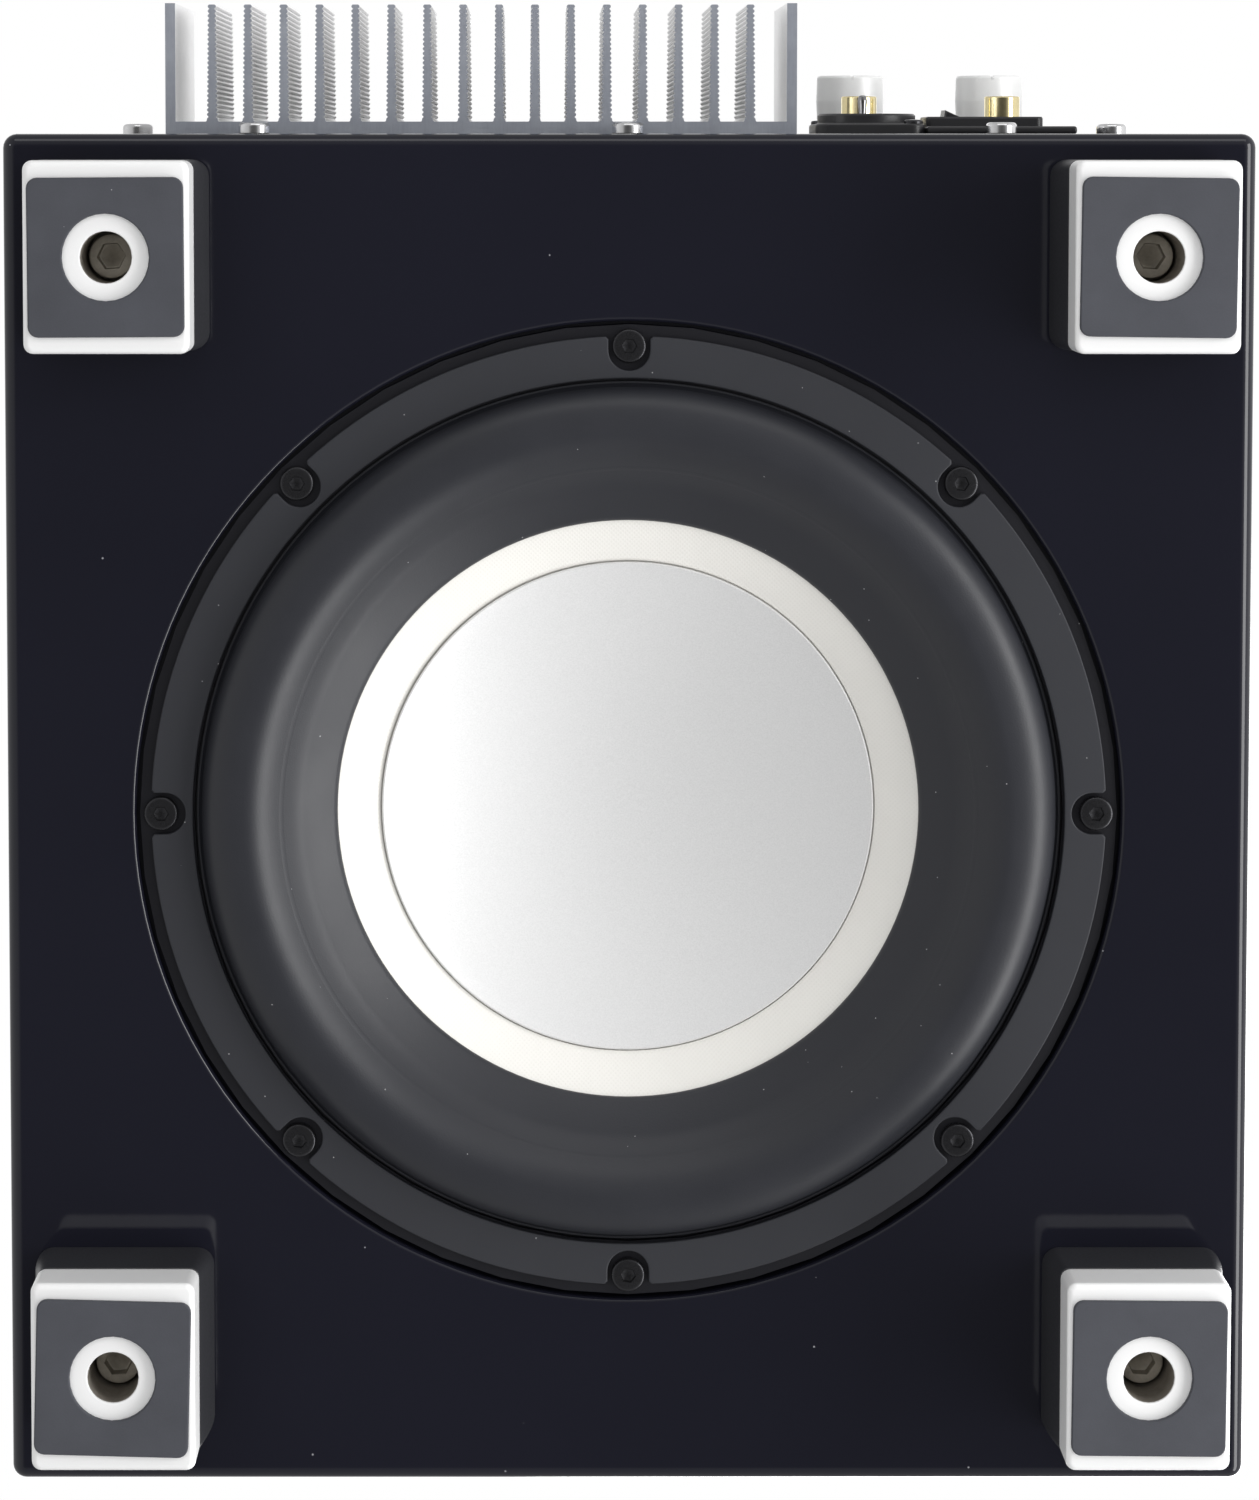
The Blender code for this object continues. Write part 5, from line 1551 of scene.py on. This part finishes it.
    def build_power_module(self) -> None:
        """Make the mains module: bezel, socket with its three blades and the rocker's well."""
        low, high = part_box("power_inlet")
        rocker = self.centre("power_rocker")
        middle_x, inlet_z, wall = self.inlet_x, self.inlet_z, 0.0009
        face, rim_top = self.rear + 0.0018, high.y
        bezel = Shape().block((low.x, self.under, low.z), (high.x, face, high.z), 0.0006, 3)
        body = Shape().block((low.x + wall, low.y, low.z + wall), (high.x - wall, self.under, high.z - wall))
        well_x, well_z = 0.0122, 0.0064
        well = Shape().block((self.rocker_x - well_x, rocker.y - 0.008, rocker.z - well_z),
                             (self.rocker_x + well_x, rim_top + 0.01, rocker.z + well_z))
        cut_x, cut_z, cut_floor, chop = 0.0122, 0.0084, self.rear - 0.0125, 0.0045
        mouth = rounded([(-cut_x, -cut_z), (cut_x, -cut_z), (cut_x, cut_z - chop), (cut_x - chop, cut_z),
                         (-cut_x + chop, cut_z), (-cut_x, cut_z - chop)], 0.0008, 4)
        facing = Heading.REAR.matrix((middle_x, 0, inlet_z))

        def mouth_cutter() -> Shape:
            """Return the socket's opening as a cutter."""
            return Shape().loft([at_height(mouth, cut_floor), at_height(mouth, rim_top + 0.01)]).moved(facing)

        rim_outline = block_outline(0.0256, 0.0208, 0.0016)
        inner_outline = block_outline(0.0252, 0.0200, 0.0014)
        rim = Shape().loft([at_height(rim_outline, face - 0.0003), at_height(rim_outline, rim_top - 0.0004),
                            at_height(inner_outline, rim_top)]).moved(facing)
        parts = [bezel.minus(well.copy(), mouth_cutter()), rim.minus(mouth_cutter()),
                 body.minus(well, mouth_cutter())]
        parts[0].joined(*parts[1:]).publish("power_inlet_module", SOCKET_PLASTIC, stands_for=("power_inlet",))
        half_x, half_z = 0.0010, 0.0020
        for index, (x, z) in enumerate(((0.007, 0.002), (-0.007, 0.002), (0.0, -0.002)), start=1):
            blade = Shape().block((middle_x + x - half_x, cut_floor + 0.0001, inlet_z + z - half_z),
                                  (middle_x + x + half_x, self.rear - 0.0015, inlet_z + z + half_z),
                                  0.0004, 3)
            blade.publish(f"power_inlet_blade_{index}", CHROME)

    def build_rocker(self) -> None:
        """Make the rocker, with two hollowed halves."""
        low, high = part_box("power_rocker")
        place = Vector((self.rocker_x, self.rear - 0.00175, 0))
        half, tip, valley, belly = 0.0108, 0.0056, 0.0042, -0.0015
        outline: list[Point] = [(-half, belly), (half, belly)]
        steps = 10
        for side in (1, -1):
            for step in range(steps + 1):
                share = 1 - step / steps if side == 1 else step / steps
                sag = 0.0005 * math.sin(math.pi * share)
                outline.append((side * half * share, valley + (tip - valley) * share - sag))
        outline = [point for index, point in enumerate(outline)
                   if index == 0 or point != outline[index - 1]]
        inset = 0.0004
        slim = [(x * (1 - inset / half), y - inset * 0.5 if y > 0 else y + inset * 0.5) for x, y in outline]
        rings = [at_height(slim, low.z), at_height(outline, low.z + inset),
                 at_height(outline, high.z - inset), at_height(slim, high.z)]
        Shape().loft(rings).moved(Matrix.Translation(place) @ Matrix.Rotation(self.throw, 4, "Z")).publish(
            "power_rocker_cap", ROCKER_PLASTIC, "rocker", ("power_rocker",))

    def build_toggle(self) -> None:
        """Make the small toggle switch: threaded bushing with its nut, and the bat lever."""
        low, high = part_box("toggle_bushing")
        x, z, mouth = self.toggle_x, self.toggle_z, high.y
        bore, outer = 0.0017, 0.0024
        threads: list[Point] = []
        start, count = self.face + 0.0011, 4
        pitch = (mouth - 0.0002 - start) / count
        for turn in range(count):
            threads += [(outer - 0.00015, start + pitch * turn), (outer, start + pitch * (turn + 0.5))]
        bore_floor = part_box("toggle_lever")[0].y - 0.0004
        profile = [(0, low.y), (outer, low.y), (outer, self.face + 0.0010), *threads, (outer - 0.0003, mouth),
                   (bore, mouth), (bore, bore_floor), (0, bore_floor)]
        nut = hexagon_nut(0.0062, 0.0030, outer + 0.00002,
                          (self.face + 0.0002, self.face + 0.0008, self.face + 0.0010))
        Shape().turn(profile, 36).joined(nut).at(Heading.REAR, (x, 0, z)).publish(
            "toggle_bushing_threaded", NICKEL, stands_for=("toggle_bushing",))
        neck, length = 0.0008, 0.0086
        lever = rounded([(0, -0.0009), (neck, -0.0005), (neck, 0.0045), (0.0011, 0.0074), (0.0009, length),
                         (0, length)], (0, 0.0002, 0.002, 0.0008, 0.0005, 0), 5)
        tilt = (Matrix.Translation((x, self.face + 0.0008, z))
                @ Matrix.Rotation(self.throw - math.pi / 2, 4, "X"))
        Shape().turn(lever, 28).moved(tilt).publish("toggle_bat", TOGGLE_METAL, "toggle", ("toggle_lever",))

    def build(self) -> None:
        """Make everything on the plate and dress what is behind it."""
        self.build_plate()
        HeatSink().build()
        self.build_screws()
        self.build_knobs()
        self.build_phono_sockets()
        self.build_speaker_socket()
        self.build_power_module()
        self.build_rocker()
        self.build_toggle()
        dress(BOARD, "amp_board")
        dress(TAPE, "transformer")
        dress(STEEL, "transformer_clamp")
        dress(LEAD_JACKET, "driver_lead")


# ---------------------------------------------------------------- studio

@dataclass(frozen=True)
class SoftBox:
    """One soft light: a rectangle that faces a point."""

    name: str
    place: tuple[float, float, float]
    target: tuple[float, float, float]
    size: tuple[float, float]
    power: float
    is_mirrored: bool = True

    def build(self) -> None:
        """Hang the light."""
        light = bpy.data.lights.new(self.name, "AREA")
        light.shape = "RECTANGLE"
        light.size, light.size_y = self.size
        light.energy = self.power
        lamp = bpy.data.objects.new(self.name, light)
        lamp.location = self.place
        lamp.rotation_euler = (Vector(self.target) - Vector(self.place)).to_track_quat("-Z", "Y").to_euler()
        lamp.visible_camera = False
        lamp.visible_glossy = self.is_mirrored
        bpy.context.scene.collection.objects.link(lamp)


@dataclass
class Studio:
    """Pale floor, soft light and the camera that looks up at the underside."""

    camera_place: tuple[float, float, float] = (0.0192, 0.1251, -1.0201)
    lens: float = 118.9
    tilt: float = math.radians(4.2)
    shift: tuple[float, float] = (0.0602, -0.149)
    floor_size: float = 6.0
    floor_colour: Colour = (0.8, 0.8, 0.8)
    side_light: float = 0.75
    key_side_light: float = 0.6

    def build_camera(self) -> None:
        """Make the camera: below the floor, the rear of the object at the top of its view."""
        camera = bpy.data.cameras.new("underside")
        camera.lens = self.lens
        camera.sensor_width = 36.0
        camera.shift_x, camera.shift_y = self.shift
        camera.clip_start, camera.clip_end = 0.05, 50.0
        holder = bpy.data.objects.new("underside", camera)
        straight = Matrix(((-1, 0, 0), (0, 1, 0), (0, 0, -1))).to_4x4()
        holder.matrix_world = (Matrix.Translation(self.camera_place) @ straight
                               @ Matrix.Rotation(-self.tilt, 4, "X"))
        bpy.context.scene.collection.objects.link(holder)
        bpy.context.scene.camera = holder

    def build_floor(self) -> None:
        """Make the floor, which shows from above only, so that the underside can be looked at through it."""
        bm = bmesh.new()
        bmesh.ops.create_grid(bm, x_segments=1, y_segments=1, size=self.floor_size / 2)
        mesh = bpy.data.meshes.new("floor")
        bm.to_mesh(mesh)
        bm.free()
        floor = bpy.data.objects.new("floor", mesh)
        bpy.context.scene.collection.objects.link(floor)
        material = bpy.data.materials.new("floor")
        material.use_nodes = True
        graph = Graph(material.node_tree)
        speckle = graph.noise(300, 3)
        tone = graph.blend(speckle, opaque(self.floor_colour, 0.99), opaque(self.floor_colour, 1.01))
        top = graph.node("ShaderNodeBsdfPrincipled", None, {"Base Color": tone, "Roughness": 0.9})
        clear = graph.node("ShaderNodeBsdfTransparent")
        side = graph.node("ShaderNodeNewGeometry", output="Backfacing")
        graph.close(graph.node("ShaderNodeMixShader", None, {0: side, 1: top, 2: clear}))
        mesh.materials.append(material)
        floor.visible_shadow = False
        floor.visible_glossy = False
        floor.visible_diffuse = False

    def build_world(self) -> None:
        """Make the pale surroundings: white where they are looked at, softer as a light."""
        world = bpy.data.worlds.new("studio")
        world.use_nodes = True
        bpy.context.scene.world = world
        graph = Graph(world.node_tree)
        direction = graph.node("ShaderNodeTexCoord", output="Generated")
        height = graph.node("ShaderNodeSeparateXYZ", None, {0: direction}, output="Z")
        across = height.part("X")
        aside = (graph.maths("ABSOLUTE", across) * self.side_light
                 + graph.maths("MAXIMUM", across * -self.key_side_light, 0.0))
        level = graph.ramp(height * 0.5 + 0.5, (0.0, 0.09), (0.03, 0.096), (0.10, 0.31), (0.5, 0.4),
                           (0.88, 0.4), (0.97, 1.0))
        glow = graph.node("ShaderNodeBackground", None, {"Color": level, "Strength": aside + 1.0})
        white = graph.node("ShaderNodeBackground", None, {"Color": (1.0, 1.0, 1.0, 1.0), "Strength": 1.0})
        seen = graph.node("ShaderNodeLightPath", output="Is Camera Ray")
        shown = graph.node("ShaderNodeMixShader", None, {0: seen, 1: glow, 2: white})
        graph.node("ShaderNodeOutputWorld", None, {"Surface": shown})

    def build(self) -> None:
        """Make the camera, the floor, the surroundings and the lights."""
        self.build_camera()
        self.build_floor()
        self.build_world()
        middle = (0.0, 0.0, 0.04)
        for light in (
                SoftBox("key", (-1.0, -0.35, -0.5), (0.0, -0.35, 0.04), (2.0, 0.5), 16.0),
                SoftBox("under", (0.15, 0.3, -1.55), middle, (1.6, 1.6), 11.0, False),
                SoftBox("rear", (-0.1, 1.1, -0.35), middle, (1.0, 0.4), 1.5),
                SoftBox("overhead", (-0.6, -0.7, 1.6), (0.0, 0.0, 0.15), (1.2, 1.2), 26.0)):
            light.build()
        bpy.context.scene.view_settings.view_transform = "Standard"


# ---------------------------------------------------------------- the whole object

FEET = (("rear_right", -0.3), ("rear_left", 0.7), ("front_right", 1.5), ("front_left", 0.5))


def main() -> None:
    """Build the studio and then the object, piece by piece."""
    logging.basicConfig(level=logging.INFO, format="%(name)s: %(message)s")
    Studio().build()
    Cabinet().build()
    Driver().build()
    for name, degrees in FEET:
        Foot(name, math.radians(degrees)).build()
    AmplifierPanel().build()


if __name__ == "__main__":
    main()
